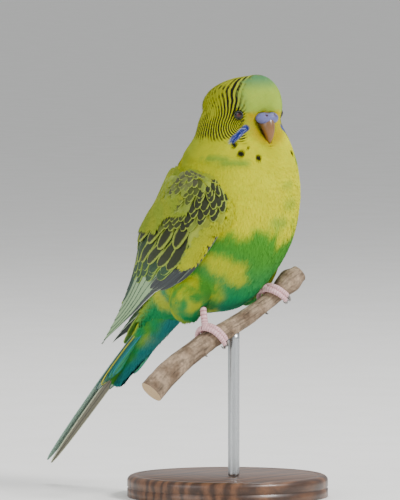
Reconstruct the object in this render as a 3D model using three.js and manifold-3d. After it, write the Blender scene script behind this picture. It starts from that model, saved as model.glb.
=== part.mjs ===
// A budgerigar at life size, perched on a cut length of branch that a small display stand holds up.
// Millimetres, +Z up. The bird's body faces +X and its left side is +Y.
// The origin is the centre of the underside of the stand's base.
import * as THREE from "three";
import { mergeVertices } from "three/addons/utils/BufferGeometryUtils.js";
import Module from "manifold-3d";

const wasm = await Module();
wasm.setup();

// Driving sizes
const GAP = 0.35; // air between two neighbouring pieces
const PERCH_TOP = 80; // height of the branch's top between the feet
const FEET_X = 10; // the feet stand this far in front of the base's centre
const BASE_RADIUS = 42;
const BASE_HEIGHT = 9;
const BASE_BEVEL = 2;
const ROD_RADIUS = 2.4;
const ROD_AT = -6; // the rod's place along the branch, from the middle between the feet
const TOE_RADIUS = 1.15;
const EYE_RADIUS = 2.3;
const EYE_OUT = 0.7; // the eyeball stands this far out of the face
const EYE = { u: 135.8, v: 51 };

// Stations along the body's middle line, from the tail's root up to the brow. x and z place the middle, from
// the branch's top between the feet. tilt turns the section's front down and yaw turns it to the bird's left,
// in degrees. front, back and side are half sizes. keen under 2 sharpens the front of the section.
const STATIONS = [
  { name: "rump end", x: -69.0, z: -30.8, tilt: 40, yaw: 0, front: 3.0, back: 3.0, side: 6.0, keen: 2 },
  { name: "rump", x: -59.8, z: -19.7, tilt: 40, yaw: 0, front: 4.0, back: 4.0, side: 8.0, keen: 2 },
  { name: "tail root", x: -48.0, z: -5.4, tilt: 40, yaw: 0, front: 7.5, back: 6.5, side: 9.5, keen: 2 },
  { name: "vent", x: -37.0, z: 3.5, tilt: 40, yaw: 0, front: 13.5, back: 12.5, side: 14.5, keen: 2 },
  { name: "lower belly", x: -25.0, z: 12.0, tilt: 36, yaw: 0, front: 22.5, back: 24.5, side: 22.0, keen: 2 },
  { name: "belly", x: -16.0, z: 22.0, tilt: 32, yaw: 0, front: 25.5, back: 28.5, side: 25.0, keen: 2 },
  { name: "breast", x: -9.0, z: 38.0, tilt: 25, yaw: 0, front: 29.5, back: 28.5, side: 26.5, keen: 2 },
  { name: "shoulder", x: -5.0, z: 52.0, tilt: 18, yaw: 0, front: 29.0, back: 26.0, side: 25.0, keen: 2 },
  { name: "throat", x: -2.5, z: 62.0, tilt: 10, yaw: -3, front: 24.5, back: 24.0, side: 22.5, keen: 2 },
  { name: "neck", x: -1.0, z: 70.0, tilt: 3, yaw: -7, front: 19.3, back: 23.0, side: 18.6, keen: 1.95 },
  { name: "cheek", x: -1.0, z: 77.0, tilt: 0, yaw: -10, front: 15.5, back: 23.0, side: 15.6, keen: 1.9 },
  { name: "brow", x: 0.3, z: 83.0, tilt: 0, yaw: -10, front: 14.6, back: 22.4, side: 14.6, keen: 2.1 },
];
const DOME_HEIGHT = 13.2; // crown above the brow
const DOME_LEAN = 6.5; // how far the crown's top lies in front of the head's middle
const DOME_KEEN = 2.05; // 2 is an ellipse, more is squarer
const DOME_LENGTH = (DOME_HEIGHT * Math.PI) / 2;

// The hollow in the face that the bill lies in
const FACE_DENT = { u: 129.5, depth: 4.6, high: 7, wide: 19 };

// Stations of the folded wing, from the wrist to the tip. They are sections like the body's, and low and high
// are the angles round them of the wing's lower and back edges.
const WING_STATIONS = [
  { name: "wrist", x: -3.8, z: 58, tilt: 14, front: 26.5, back: 26.5, side: 25.5, low: 76, high: 126 },
  { name: "lesser", x: -5.5, z: 50, tilt: 19, front: 31.0, back: 29.0, side: 27.8, low: 59, high: 145 },
  { name: "elbow", x: -8.0, z: 41, tilt: 24, front: 31.5, back: 31.0, side: 29.3, low: 57, high: 158 },
  { name: "coverts", x: -12.3, z: 30, tilt: 28, front: 29.5, back: 33.0, side: 29.5, low: 62, high: 168 },
  { name: "secondaries", x: -18, z: 20.5, tilt: 33, front: 27, back: 34.5, side: 28.3, low: 66, high: 172 },
  { name: "tertials", x: -27.0, z: 12.0, tilt: 38, front: 24.0, back: 32.5, side: 24.0, low: 74, high: 174 },
  { name: "primaries", x: -40.0, z: 4.0, tilt: 42, front: 14.0, back: 22.5, side: 17.0, low: 82, high: 172 },
  { name: "points", x: -55.0, z: -5.0, tilt: 45, front: 8.0, back: 13.0, side: 11.3, low: 85, high: 165 },
  { name: "tip", x: -77.0, z: -19.0, tilt: 48, front: 4.0, back: 3.5, side: 6.0, low: 96, high: 140 },
];

// Points of the branch's middle line: along runs to the bird's left and a little forward, z is the height from
// the branch's top between the feet, and r is the radius.
const PERCH_YAW = 19; // how far the branch's left end swings forward, in degrees
const PERCH = [
  { along: -46, z: -34.2, r: 5.3 },
  { along: -37, z: -25.8, r: 5.1 },
  { along: -21.3, z: -15.7, r: 4.5 },
  { along: -10.2, z: -9.7, r: 4.0 },
  { along: -0.5, z: -5.0, r: 3.7 },
  { along: 7.8, z: -0.2, r: 3.6 },
  { along: 15, z: 5.0, r: 3.9 },
  { along: 21.3, z: 9.9, r: 5.2 },
  { along: 26, z: 13.2, r: 5.8 },
];

const rad = THREE.MathUtils.degToRad;
const { lerp, clamp, smoothstep } = THREE.MathUtils;

// Distance of each station from the first, along the middle line
function distances(stations) {
  const at = [0];
  for (let i = 1; i < stations.length; i++) {
    const step = Math.hypot(stations[i].x - stations[i - 1].x, stations[i].z - stations[i - 1].z);
    at.push(at[i - 1] + step);
  }
  return at;
}

// A smooth curve through values at given places: a cubic in each span, its slope at a place the mean slope
// between the neighbours, and flat at the last place when level is set
function through(places, values, t, level = false) {
  const last = places.length - 1;
  let i = 0;
  while (i < last - 1 && t > places[i + 1]) i++;
  const slope = (k) => {
    if (k === last && level) return 0;
    const a = Math.max(k - 1, 0);
    const b = Math.min(k + 1, last);
    return (values[b] - values[a]) / (places[b] - places[a]);
  };
  const span = places[i + 1] - places[i];
  const s = (t - places[i]) / span;
  const s2 = s * s;
  const s3 = s2 * s;
  return (
    values[i] * (2 * s3 - 3 * s2 + 1) +
    values[i + 1] * (3 * s2 - 2 * s3) +
    span * (slope(i) * (s3 - 2 * s2 + s) + slope(i + 1) * (s3 - s2))
  );
}

// Reads any column of a station table at a distance along it
function reader(stations) {
  const places = distances(stations);
  const columns = {};
  for (const key of Object.keys(stations[0])) columns[key] = stations.map((station) => station[key]);
  return {
    end: places[places.length - 1],
    at: (name) => places[columns.name.indexOf(name)],
    value: (key, u, level) => through(places, columns[key], u, level),
  };
}

const body = reader(STATIONS);
const BROW_AT = body.end;
const CROWN_AT = BROW_AT + DOME_LENGTH;

// The front direction of a section turned down by tilt and left by yaw
function facing(tilt, yaw) {
  const t = rad(tilt);
  const y = rad(yaw);
  return new THREE.Vector3(Math.cos(y) * Math.cos(t), Math.sin(y) * Math.cos(t), -Math.sin(t));
}

// A point of a section: an oval with half sizes front, back and side, v degrees round from the front
function oval(middle, front, side, v, sizes, keen = 2) {
  const c = Math.cos(rad(v));
  const n = Math.sin(rad(v));
  const power = c > 0 ? 2 / keen : 1;
  const forward = Math.sign(c) * Math.abs(c) ** power * (c > 0 ? sizes.front : sizes.back);
  const sideways = Math.sign(n) * Math.abs(n) ** power * sizes.side;
  return middle.clone().addScaledVector(front, forward).addScaledVector(side, sideways);
}

// The body's middle, front and side directions and shrinking towards the crown at distance u
function spine(u) {
  const base = Math.min(u, BROW_AT);
  const yaw = body.value("yaw", base, true);
  const front = facing(body.value("tilt", base, true), yaw);
  const side = new THREE.Vector3(-Math.sin(rad(yaw)), Math.cos(rad(yaw)), 0);
  const middle = new THREE.Vector3(body.value("x", base, true), 0, body.value("z", base));
  const turn = u > BROW_AT ? ((u - BROW_AT) / DOME_LENGTH) * (Math.PI / 2) : 0;
  const shrink = Math.max(Math.cos(turn), 0) ** (2 / DOME_KEEN);
  middle.addScaledVector(front, DOME_LEAN * (1 - shrink));
  middle.z += DOME_HEIGHT * Math.sin(turn) ** (2 / DOME_KEEN);
  return { base, front, side, middle, shrink };
}

// A point of the body: u along the middle line, v round it in degrees (0 front, 90 left, -90 right, 180 back),
// with the section grown by a given amount
function skin(u, v, grow = 0) {
  const { base, front, side, middle, shrink } = spine(u);
  const size = (key) => body.value(key, base, true) * shrink + grow;
  const sizes = { front: size("front"), back: size("back"), side: size("side") };
  const p = oval(middle, front, side, v, sizes, body.value("keen", base, true));
  const far = ((u - FACE_DENT.u) / FACE_DENT.high) ** 2 + (v / FACE_DENT.wide) ** 2;
  return p.addScaledVector(front, -FACE_DENT.depth * Math.exp(-far));
}

// The outward direction of the body at (u, v), from two short steps along the surface
function outward(u, v) {
  const du = 0.5;
  const dv = 1;
  const along = skin(u + du, v).sub(skin(u - du, v));
  const around = skin(u, v + dv).sub(skin(u, v - dv));
  return around.cross(along).normalize();
}

// Solids

// A closed geometry as a solid, with shared vertices merged and empty triangles dropped
function solid(geometry) {
  const bare = new THREE.BufferGeometry();
  bare.setAttribute("position", geometry.getAttribute("position"));
  if (geometry.index) bare.setIndex(geometry.index);
  const merged = mergeVertices(bare, 1e-4);
  const kept = [];
  const index = merged.index.array;
  for (let i = 0; i < index.length; i += 3) {
    const [a, b, c] = [index[i], index[i + 1], index[i + 2]];
    if (a !== b && b !== c && c !== a) kept.push(a, b, c);
  }
  const build = (triangles) =>
    new wasm.Manifold(
      new wasm.Mesh({
        numProp: 3,
        vertProperties: Float32Array.from(merged.attributes.position.array),
        triVerts: Uint32Array.from(triangles),
      })
    );
  const made = build(kept);
  if (made.volume() > 0) return made;
  const turned = [];
  for (let i = 0; i < kept.length; i += 3) turned.push(kept[i], kept[i + 2], kept[i + 1]);
  return build(turned);
}

// A capped tube: each vertex of a unit cylinder goes where place(along, around, out) says.
// along runs from 0 to 1, around is in degrees, and out is 0 in the middle of a cap and 1 elsewhere.
function tube(steps, sides, place) {
  const geometry = new THREE.CylinderGeometry(1, 1, 1, sides, steps);
  const position = geometry.getAttribute("position");
  for (let i = 0; i < position.count; i++) {
    const out = Math.round(Math.hypot(position.getX(i), position.getZ(i)));
    const around = out ? THREE.MathUtils.radToDeg(Math.atan2(position.getX(i), position.getZ(i))) : 0;
    const p = place(position.getY(i) + 0.5, around, out);
    position.setXYZ(i, p.x, p.y, p.z);
  }
  return solid(geometry);
}

// A thin plate: two sheets split into triangles alike and joined round their rim.
// place(along, across, face) has along from 0 to 1, across from -1 to 1, and face 1 outside or 0 inside.
function plate(steps, ribs, place) {
  const grid = new THREE.PlaneGeometry(1, 1, ribs, steps).index.array;
  const count = (steps + 1) * (ribs + 1);
  const points = [];
  for (const face of [1, 0])
    for (let i = 0; i <= steps; i++)
      for (let j = 0; j <= ribs; j++) points.push(...place(i / steps, (2 * j) / ribs - 1, face).toArray());
  const index = [...grid];
  for (let i = 0; i < grid.length; i += 3) {
    index.push(grid[i] + count, grid[i + 2] + count, grid[i + 1] + count);
  }
  const rim = [];
  for (let i = 0; i < steps; i++) rim.push(i * (ribs + 1));
  for (let j = 0; j < ribs; j++) rim.push(steps * (ribs + 1) + j);
  for (let i = steps; i > 0; i--) rim.push(i * (ribs + 1) + ribs);
  for (let j = ribs; j > 0; j--) rim.push(j);
  rim.forEach((a, k) => {
    const b = rim[(k + 1) % rim.length];
    index.push(a, b + count, b, a, a + count, b + count);
  });
  const geometry = new THREE.BufferGeometry();
  geometry.setAttribute("position", new THREE.Float32BufferAttribute(points, 3));
  geometry.setIndex(index);
  return solid(geometry);
}

// A round tube along a three.js curve, its radius a function of the distance along from 0 to 1
function rod(curve, steps, sides, radius) {
  const frames = curve.computeFrenetFrames(steps, false);
  return tube(steps, sides, (along, around, out) => {
    const k = Math.round(along * steps);
    const r = out * radius(along);
    return curve
      .getPointAt(along)
      .addScaledVector(frames.normals[k], r * Math.cos(rad(around)))
      .addScaledVector(frames.binormals[k], r * Math.sin(rad(around)));
  });
}

const fuse = (solids) => solids.reduce((a, b) => a.add(b));
const largest = (made) => made.decompose().sort((a, b) => b.volume() - a.volume())[0];

// A solid as a named mesh
function mesh(name, made, material) {
  const { numProp, vertProperties, triVerts } = made.getMesh();
  const points = [];
  for (let i = 0; i < vertProperties.length; i += numProp) points.push(...vertProperties.subarray(i, i + 3));
  const geometry = new THREE.BufferGeometry();
  geometry.setAttribute("position", new THREE.Float32BufferAttribute(points, 3));
  geometry.setIndex([...triVerts]);
  geometry.computeVertexNormals();
  const piece = new THREE.Mesh(geometry, material);
  piece.name = name;
  return piece;
}

function material(color, roughness, metalness = 0) {
  return new THREE.MeshStandardMaterial({ color, roughness, metalness });
}
const MATERIALS = {
  plumage: material("#a8b428", 0.9),
  wing: material("#8f9a3c", 0.85),
  tail: material("#6f9a86", 0.8),
  cere: material("#8088c0", 0.5),
  beak: material("#c08a50", 0.35),
  eye: material("#1a0d0c", 0.1),
  foot: material("#e0a0a4", 0.6),
  claw: material("#8a7f7a", 0.4),
  bark: material("#7c6c5c", 0.95),
  wood: material("#5a3d28", 0.5),
  steel: material("#b8bcc0", 0.3, 1),
};

// Torso, neck and head, parted by thin cuts across the middle line

function bodyLength(low, high, steps, sides, grow = 0) {
  return tube(steps, sides, (along, around, out) => {
    const u = lerp(low, high, along);
    return out ? skin(u, around, grow) : spine(u).middle;
  });
}

const SHOULDER_CUT = body.at("throat") - 3;
const NECK_CUT = body.at("neck") - 1;
const TAIL_CUT = body.at("tail root");
const BODY_SIDES = 26;
const HEAD_SIDES = 27;
const FLAT_SLACK = 0.45; // how far a coarse face of the body may lie inside its round
const grownBody = bodyLength(TAIL_CUT - 1, CROWN_AT, 18, 20, GAP + FLAT_SLACK);

// Face: eyes, lids, cere with nostrils, and bill

// A point of the face in the head's own directions: forward, to the bird's left, and up
const HEAD_FRONT = facing(0, -10);
const HEAD_SIDE = new THREE.Vector3(0, 0, 1).cross(HEAD_FRONT);
const onFace = (forward, left, up) =>
  new THREE.Vector3(body.value("x", body.at("cheek")), 0, up)
    .addScaledVector(HEAD_FRONT, forward)
    .addScaledVector(HEAD_SIDE, left);

// An ellipsoid with its half sizes along the head's directions, turned about the upright
function egg(center, forward, side, up, turn = 0, grow = 0, sides = 10, rings = 7) {
  const geometry = new THREE.SphereGeometry(1, sides, rings);
  geometry.rotateX(Math.PI / 2);
  geometry.scale(forward + grow, side + grow, up + grow);
  geometry.rotateZ(rad(turn - 10));
  geometry.translate(center.x, center.y, center.z);
  return solid(geometry);
}

function ball(center, radius, sides = 10, rings = 7) {
  return egg(center, radius, radius, radius, 0, 0, sides, rings);
}

function eyeCenter(side) {
  const n = outward(EYE.u, side * EYE.v);
  return skin(EYE.u, side * EYE.v).addScaledVector(n, EYE_OUT - EYE_RADIUS);
}

// A ring of skin round the eye, the upper and lower lid in one
function lids(side) {
  const geometry = new THREE.TorusGeometry(2.05, 0.5, 5, 16);
  const n = outward(EYE.u, side * EYE.v);
  const turn = new THREE.Quaternion().setFromUnitVectors(new THREE.Vector3(0, 0, 1), n);
  geometry.applyQuaternion(turn);
  const p = skin(EYE.u, side * EYE.v).addScaledVector(n, -0.05);
  geometry.translate(p.x, p.y, p.z);
  return solid(geometry);
}

const CERE = { forward: 14.6, left: 2.5, up: 79.2 };
function cereSolid(grow = 0) {
  const lobes = [];
  for (const side of [-1, 1]) {
    const p = onFace(CERE.forward, side * CERE.left, CERE.up);
    lobes.push(egg(p, 2.2, 3.0, 2.25, side * 24, grow));
  }
  return fuse(lobes);
}

// The upper bill: oval sections along a hooked line in the head's middle plane
const BILL = [
  { forward: 11.0, up: 78.6, deep: 3.6, wide: 3.7 },
  { forward: 13.6, up: 77.6, deep: 3.6, wide: 3.6 },
  { forward: 15.2, up: 75.2, deep: 3.1, wide: 3.2 },
  { forward: 15.9, up: 72.3, deep: 2.2, wide: 2.3 },
  { forward: 15.9, up: 69.6, deep: 1.3, wide: 1.3 },
  { forward: 15.5, up: 67.6, deep: 0.4, wide: 0.4 },
];
const UNDER_BILL = [
  { forward: 9.0, up: 73.2, deep: 2.6, wide: 3.2 },
  { forward: 11.2, up: 72.0, deep: 2.2, wide: 3.0 },
  { forward: 12.9, up: 70.9, deep: 1.5, wide: 2.4 },
  { forward: 13.9, up: 70.5, deep: 0.5, wide: 1.2 },
];

// Oval sections set square to a line in the head's middle plane
function hook(sections, grow, steps, sides) {
  const places = sections.map((_, i) => i / (sections.length - 1));
  const read = (key, t) => through(places, sections.map((section) => section[key]), t);
  return tube(steps, sides, (along, around, out) => {
    const t = clamp(along, 0.001, 0.999);
    const step = 0.001;
    const df = read("forward", t + step) - read("forward", t - step);
    const dz = read("up", t + step) - read("up", t - step);
    const length = Math.hypot(df, dz);
    const deep = out * (read("deep", t) + grow) * Math.cos(rad(around));
    const wide = out * (read("wide", t) + grow) * Math.sin(rad(around));
    return onFace(read("forward", t) - (deep * dz) / length, wide, read("up", t) + (deep * df) / length);
  });
}

const upperBill = (grow) => hook(BILL, grow, 8, 10);
const underBill = (grow) => hook(UNDER_BILL, grow, 4, 10);
const nostril = (side) => ball(onFace(CERE.forward + 2.0, side * 2.3, CERE.up + 1.1), 0.62, 10, 6);

const cere = cereSolid().subtract(nostril(-1)).subtract(nostril(1));
const billUpper = upperBill(0).subtract(cereSolid(GAP));
const billLower = underBill(0).subtract(upperBill(GAP));
const grownBill = upperBill(GAP).add(underBill(GAP));

const neck = bodyLength(SHOULDER_CUT + GAP, NECK_CUT, 3, BODY_SIDES).subtract(grownBill);
let head = bodyLength(NECK_CUT + GAP, CROWN_AT, 13, HEAD_SIDES).add(lids(-1)).add(lids(1));
for (const side of [-1, 1]) head = head.subtract(ball(eyeCenter(side), EYE_RADIUS + GAP));
head = head.subtract(cereSolid(GAP)).subtract(grownBill);

// Branch, feet and claws

const PERCH_ALONG = new THREE.Vector3(Math.sin(rad(PERCH_YAW)), Math.cos(rad(PERCH_YAW)), 0);
const PERCH_FRONT = new THREE.Vector3(Math.cos(rad(PERCH_YAW)), -Math.sin(rad(PERCH_YAW)), 0);
const perchPlaces = PERCH.map((p) => p.along);
const perchZ = (along) => through(perchPlaces, PERCH.map((p) => p.z), along);
const perchRadius = (along) => through(perchPlaces, PERCH.map((p) => p.r), along);
const perchMiddle = (along) => PERCH_ALONG.clone().multiplyScalar(along).setZ(perchZ(along));

// A point round the branch's middle line at distance r from it, turned from its top towards the front
function roundMiddle(along, turn, r) {
  const slope = Math.atan2(perchZ(along + 0.5) - perchZ(along - 0.5), 1);
  const up = PERCH_ALONG.clone().multiplyScalar(-Math.sin(slope)).setZ(Math.cos(slope));
  return perchMiddle(along)
    .addScaledVector(up, r * Math.cos(rad(turn)))
    .addScaledVector(PERCH_FRONT, r * Math.sin(rad(turn)));
}
const roundPerch = (along, turn, out) => roundMiddle(along, turn, perchRadius(along) + out);

function perchSolid(grow) {
  const first = perchPlaces[0];
  const last = perchPlaces[perchPlaces.length - 1];
  return tube(13, 12, (along, around, out) => {
    const h = lerp(first - grow, last + grow, along);
    const round = 1 - 0.35 * smoothstep(along, 0.93, 1);
    return roundMiddle(h, around, out * (perchRadius(h) * round + grow));
  });
}
const perch = perchSolid(0);
const grownPerch = perchSolid(GAP);

// Each toe starts near the ankle, and turns and drifts along the branch to its end
const TOES = [
  { name: "inner_front", start: 0.9, drift: 2.6, turn: 118 },
  { name: "outer_front", start: -0.9, drift: 3.4, turn: 140 },
  { name: "inner_hind", start: 0.7, drift: -0.4, turn: -98 },
  { name: "outer_hind", start: -0.9, drift: -2.6, turn: -118 },
];
const FEET = [
  { name: "right", along: -17, ankle: [-10.6, -15.3, -0.6] },
  { name: "left", along: 12.6, ankle: [-3.5, 12.6, 13.5] },
];
const CLAW_TURN = 52;

function toePoint(foot, toe, t) {
  const along = foot.along + toe.start + toe.drift * t;
  return roundPerch(along, toe.turn * t, GAP + TOE_RADIUS * (1.02 - 0.12 * t));
}

function toeSolid(foot, toe, grow = 0) {
  const points = [0, 0.25, 0.5, 0.75, 1].map((t) => toePoint(foot, toe, t));
  const curve = new THREE.CatmullRomCurve3(points);
  return rod(curve, 6, 7, (t) => TOE_RADIUS * (1 - 0.22 * t) * (t > 0.99 ? 0.75 : 1) + grow);
}

function clawSolid(foot, toe) {
  const points = [0.06, 0.35, 0.7, 1].map((t) => {
    const turn = toe.turn + Math.sign(toe.turn) * CLAW_TURN * t + Math.sign(toe.turn) * 3;
    const along = foot.along + toe.start + toe.drift * (1 + 0.15 * t);
    return roundPerch(along, turn, GAP + 0.75 + 1.1 * Math.sin(t * 2.6) - 0.35 * t);
  });
  const curve = new THREE.CatmullRomCurve3(points);
  return rod(curve, 5, 6, (t) => 0.72 * (1 - t) + 0.12 * t);
}

function footSolid(foot, grow = 0) {
  const root = roundPerch(foot.along, 0, GAP + TOE_RADIUS);
  const ankle = new THREE.Vector3(...foot.ankle);
  const bend = root.clone().lerp(ankle, 0.25).setZ(root.z + 1.2);
  const shank = rod(new THREE.CatmullRomCurve3([root, bend, ankle]), 4, 8, () => TOE_RADIUS * 1.15 + grow);
  const parts = [shank, ball(root, TOE_RADIUS * 1.45 + grow, 8, 6)];
  for (const toe of TOES) parts.push(toeSolid(foot, toe, grow));
  return fuse(parts);
}

// Feathered thighs: round sections along a line from inside the belly to the ankle
const THIGHS = [
  {
    name: "right",
    line: [[-6, -10, 17], [-13, -15, 9], [-18.5, -16, 1.5], [-18.5, -14.8, -5.5]],
    r: [6, 8.2, 7.4, 2.6],
  },
  {
    name: "left",
    line: [[0, 12, 24], [-4, 13.5, 15], [-8, 14, 7], [-12, 14, 1]],
    r: [8, 7.2, 5, 1.2],
  },
];
function thighSolid(thigh) {
  const curve = new THREE.CatmullRomCurve3(thigh.line.map((p) => new THREE.Vector3(...p)));
  const places = thigh.r.map((_, i) => i / (thigh.r.length - 1));
  return rod(curve, 8, 14, (t) => through(places, thigh.r, t));
}

// Wings

const wing = reader(WING_STATIONS);

// A point of the folded wing: s from 0 at the wrist to 1 at the tip, t from -1 at the lower edge to 1 at the
// back edge, h above its face
function wingPoint(side, s, t, h = 0) {
  const face = (a, b) => {
    const u = clamp(a, 0, 1) * wing.end;
    const value = (key) => wing.value(key, u);
    const v = lerp(value("low"), value("high"), (b + 1) / 2);
    const middle = new THREE.Vector3(value("x"), 0, value("z"));
    const sizes = { front: value("front"), back: value("back"), side: value("side") };
    return oval(middle, facing(value("tilt"), 0), new THREE.Vector3(0, 1, 0), v, sizes);
  };
  const ds = face(s + 0.01, t).sub(face(s - 0.01, t));
  const dt = face(s, t + 0.02).sub(face(s, t - 0.02));
  const p = face(s, t).addScaledVector(dt.cross(ds).normalize(), -h);
  p.y *= side;
  return p;
}

const VANE_THICK = 0.55;
const VANE_LEAN = 0.42; // how far one edge of a wing vane stands above its middle, over its neighbour
const CORE_TOP = -1.25; // the wing's core below the faces of the vanes
const CORE_THICK = 1.5;
const CORE_END = 0.66;
const VANE_DEPTH = { low: -2.35, high: -0.1 }; // height of a vane's face at its root and at its tip

function wingCore(side) {
  return plate(10, 5, (along, across, face) => {
    const narrow = 0.96 - 0.3 * smoothstep(along, 0.8, 1);
    const h = CORE_TOP - (face ? 0 : CORE_THICK);
    return wingPoint(side, 0.01 + (CORE_END - 0.01) * along, across * narrow, h);
  });
}

// Half the width of a vane along it, as a share of its widest: it opens from the root and closes in a round
// or pointed tip that starts at a given share of its length
function vaneWidth(along, tip, end) {
  const open = 0.6 + 0.4 * smoothstep(along, 0, 0.4);
  const close = along > tip ? ((along - tip) / (1 - tip)) ** 2 : 0;
  return open * lerp(1, end, close);
}

// Tiers of wing feathers, from the smallest to the flight feathers. Roots and tips are shares of the wing's
// length. low and high are the edges of the tier across the wing at its tips, and half is in millimetres.
const WING_TIERS = [
  { count: 3, root: 0.0, tip: 0.1, low: -0.6, high: 0.62, half: 5.2, steps: 3 },
  { count: 4, root: 0.05, tip: 0.175, low: -0.76, high: 0.72, half: 5.6, steps: 3 },
  { count: 5, root: 0.12, tip: 0.255, low: -0.8, high: 0.78, half: 5.6, steps: 3 },
  { count: 5, root: 0.2, tip: 0.355, low: -0.8, high: 0.8, half: 5.9, steps: 3 },
  { count: 6, root: 0.29, tip: 0.49, low: -0.84, high: 0.82, half: 4.9, steps: 3 },
  { count: 5, root: 0.4, tip: 0.615, low: -0.6, high: 0.82, half: 4.5, steps: 3 },
  { count: 2, root: 0.4, tip: 0.58, low: -0.88, high: -0.7, half: 2.4, steps: 3 },
];
// Primaries from the longest, at the lower edge, to the shortest: the share of the wing that each tip reaches
// and its place across
const PRIMARIES = [
  { tip: 1.0, from: -0.8, to: -0.4 },
  { tip: 0.965, from: -0.62, to: -0.1 },
  { tip: 0.925, from: -0.42, to: 0.12 },
  { tip: 0.875, from: -0.2, to: 0.34 },
  { tip: 0.815, from: 0.05, to: 0.5 },
  { tip: 0.75, from: 0.3, to: 0.66 },
];
const PRIMARY_HALF = 3.5;
const PRIMARY_ROOT = 0.52;

// One wing feather, leaning across so that its neighbour passes under its lower edge
function wingVane(side, { root, tip, from, to, half, steps, low, high, point }) {
  const span = (s, t) => wingPoint(1, s, t + 0.05).distanceTo(wingPoint(1, s, t - 0.05)) / 0.1;
  return plate(steps, 2, (along, across, face) => {
    const s = lerp(root, tip, along);
    const t = lerp(from, to, along);
    const w = (half * vaneWidth(along, point ? 0.45 : 0.55, point ? 0.22 : 0.3)) / span(s, t);
    const h = lerp(low, high, along) - VANE_LEAN * across * smoothstep(along, 0, 0.6);
    return wingPoint(side, s, clamp(t + across * w, -1, 1), h - (face ? 0 : VANE_THICK));
  });
}

function wingSolid(side) {
  const parts = [wingCore(side)];
  for (const tier of WING_TIERS)
    for (let i = 0; i < tier.count; i++) {
      const t = lerp(tier.low, tier.high, i / (tier.count - 1));
      const vary = 0.008 * Math.sin(7.3 * i + 40 * tier.tip);
      const shape = { ...tier, tip: tier.tip + vary, from: t * 0.96, to: t, ...VANE_DEPTH };
      parts.push(wingVane(side, shape));
    }
  PRIMARIES.forEach(({ tip, from, to }, i) => {
    const rise = 0.32 * i;
    const shape = { half: PRIMARY_HALF, steps: 4, low: -2.6 + rise * 0.4, high: -2.2 + rise, point: true };
    parts.push(wingVane(side, { root: PRIMARY_ROOT, tip, from, to, ...shape }));
  });
  return fuse(parts);
}

// Tail

const TAIL_ROOT = new THREE.Vector3(-44, 0, -1.2);
const TAIL_DOWN = rad(46.3);
const TAIL_ALONG = new THREE.Vector3(-Math.cos(TAIL_DOWN), 0, -Math.sin(TAIL_DOWN));
const TAIL_UP = new THREE.Vector3(-Math.sin(TAIL_DOWN), 0, Math.cos(TAIL_DOWN));
const tailPoint = (along, left, up) =>
  TAIL_ROOT.clone().addScaledVector(TAIL_ALONG, along).addScaledVector(TAIL_UP, up).setY(left);

const TAIL_SLOPE = 0.027; // how far the feathers come down towards the tail's line, for each millimetre
const TAIL_LAYER = 0.95; // from one layer of tail feathers to the next
const TAIL_PAIRS = [95, 51, 47, 44, 41, 38]; // how far each pair reaches, from the middle pair out
const TAIL_TOP = 2.9;
// Short feathers under and over the tail's root
const TAIL_COVERTS = [
  { across: -4.6, reach: 25, up: -6.4, slope: -0.075 },
  { across: 4.6, reach: 26, up: -6.5, slope: -0.075 },
  { across: -2.2, reach: 38, up: -7.6, slope: -0.085 },
  { across: 2.4, reach: 40, up: -7.7, slope: -0.085 },
  { across: 0, reach: 32, up: -8.7, slope: -0.085 },
  { across: -3.2, reach: 24, up: 5.4, slope: 0.06 },
  { across: 3.2, reach: 25, up: 5.5, slope: 0.06 },
  { across: 0, reach: 21, up: 6.6, slope: 0.06 },
];
const COVERT = { root: 4, half: 3.6, steps: 3, tip: 0.5, end: 0.25 };

// The flesh and feather roots that all tail feathers start from
function tailCore() {
  return tube(5, 14, (along, around, out) => {
    const half = out * lerp(8.2, 4.6, along ** 1.5);
    const deep = out * lerp(6.4, 2.6, along);
    return tailPoint(lerp(2, 30, along), half * Math.sin(rad(around)), -1.2 + deep * Math.cos(rad(around)));
  });
}

// One tail feather: left is the place of its middle at the root and at the tip
function tailVane({ reach, root, left, half, up, slope, steps, tip, end }) {
  return plate(steps, 2, (along, across, face) => {
    const d = lerp(root, reach, along);
    const w = half * vaneWidth(along, tip, end);
    const crown = -0.18 * across * across;
    const y = lerp(left[0], left[1], along) + across * w;
    return tailPoint(d, y, up - slope * d + crown - (face ? 0 : VANE_THICK));
  });
}

function tailSolid() {
  const parts = [tailCore()];
  for (const side of [1, -1])
    TAIL_PAIRS.forEach((reach, i) => {
      const layer = i === 0 ? (side > 0 ? 0 : 1) : i + 1;
      const left = i === 0 ? [side * 1.0, side * 0.5] : [side * (3.3 + 0.3 * i), side * (3.6 + 0.75 * i)];
      const up = TAIL_TOP - TAIL_LAYER * layer;
      const half = i === 0 ? 3.5 : 2.9;
      const shape = { slope: TAIL_SLOPE, steps: i === 0 ? 6 : 4, tip: i === 0 ? 0.3 : 0.6, end: 0.14 };
      parts.push(tailVane({ reach, root: 10, left, half, up, ...shape }));
    });
  for (const { across, reach, up, slope } of TAIL_COVERTS)
    parts.push(tailVane({ reach, up, slope, left: [across * 0.8, across], ...COVERT }));
  return fuse(parts);
}

// Cuts between neighbours

const grownTorsoEnd = bodyLength(TAIL_CUT - GAP, TAIL_CUT + 20, 6, BODY_SIDES, GAP);
const tail = tailSolid().subtract(grownTorsoEnd);

let torso = bodyLength(TAIL_CUT, SHOULDER_CUT, 16, BODY_SIDES).subtract(grownPerch);
for (const foot of FEET) torso = torso.subtract(footSolid(foot, GAP));

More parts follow.
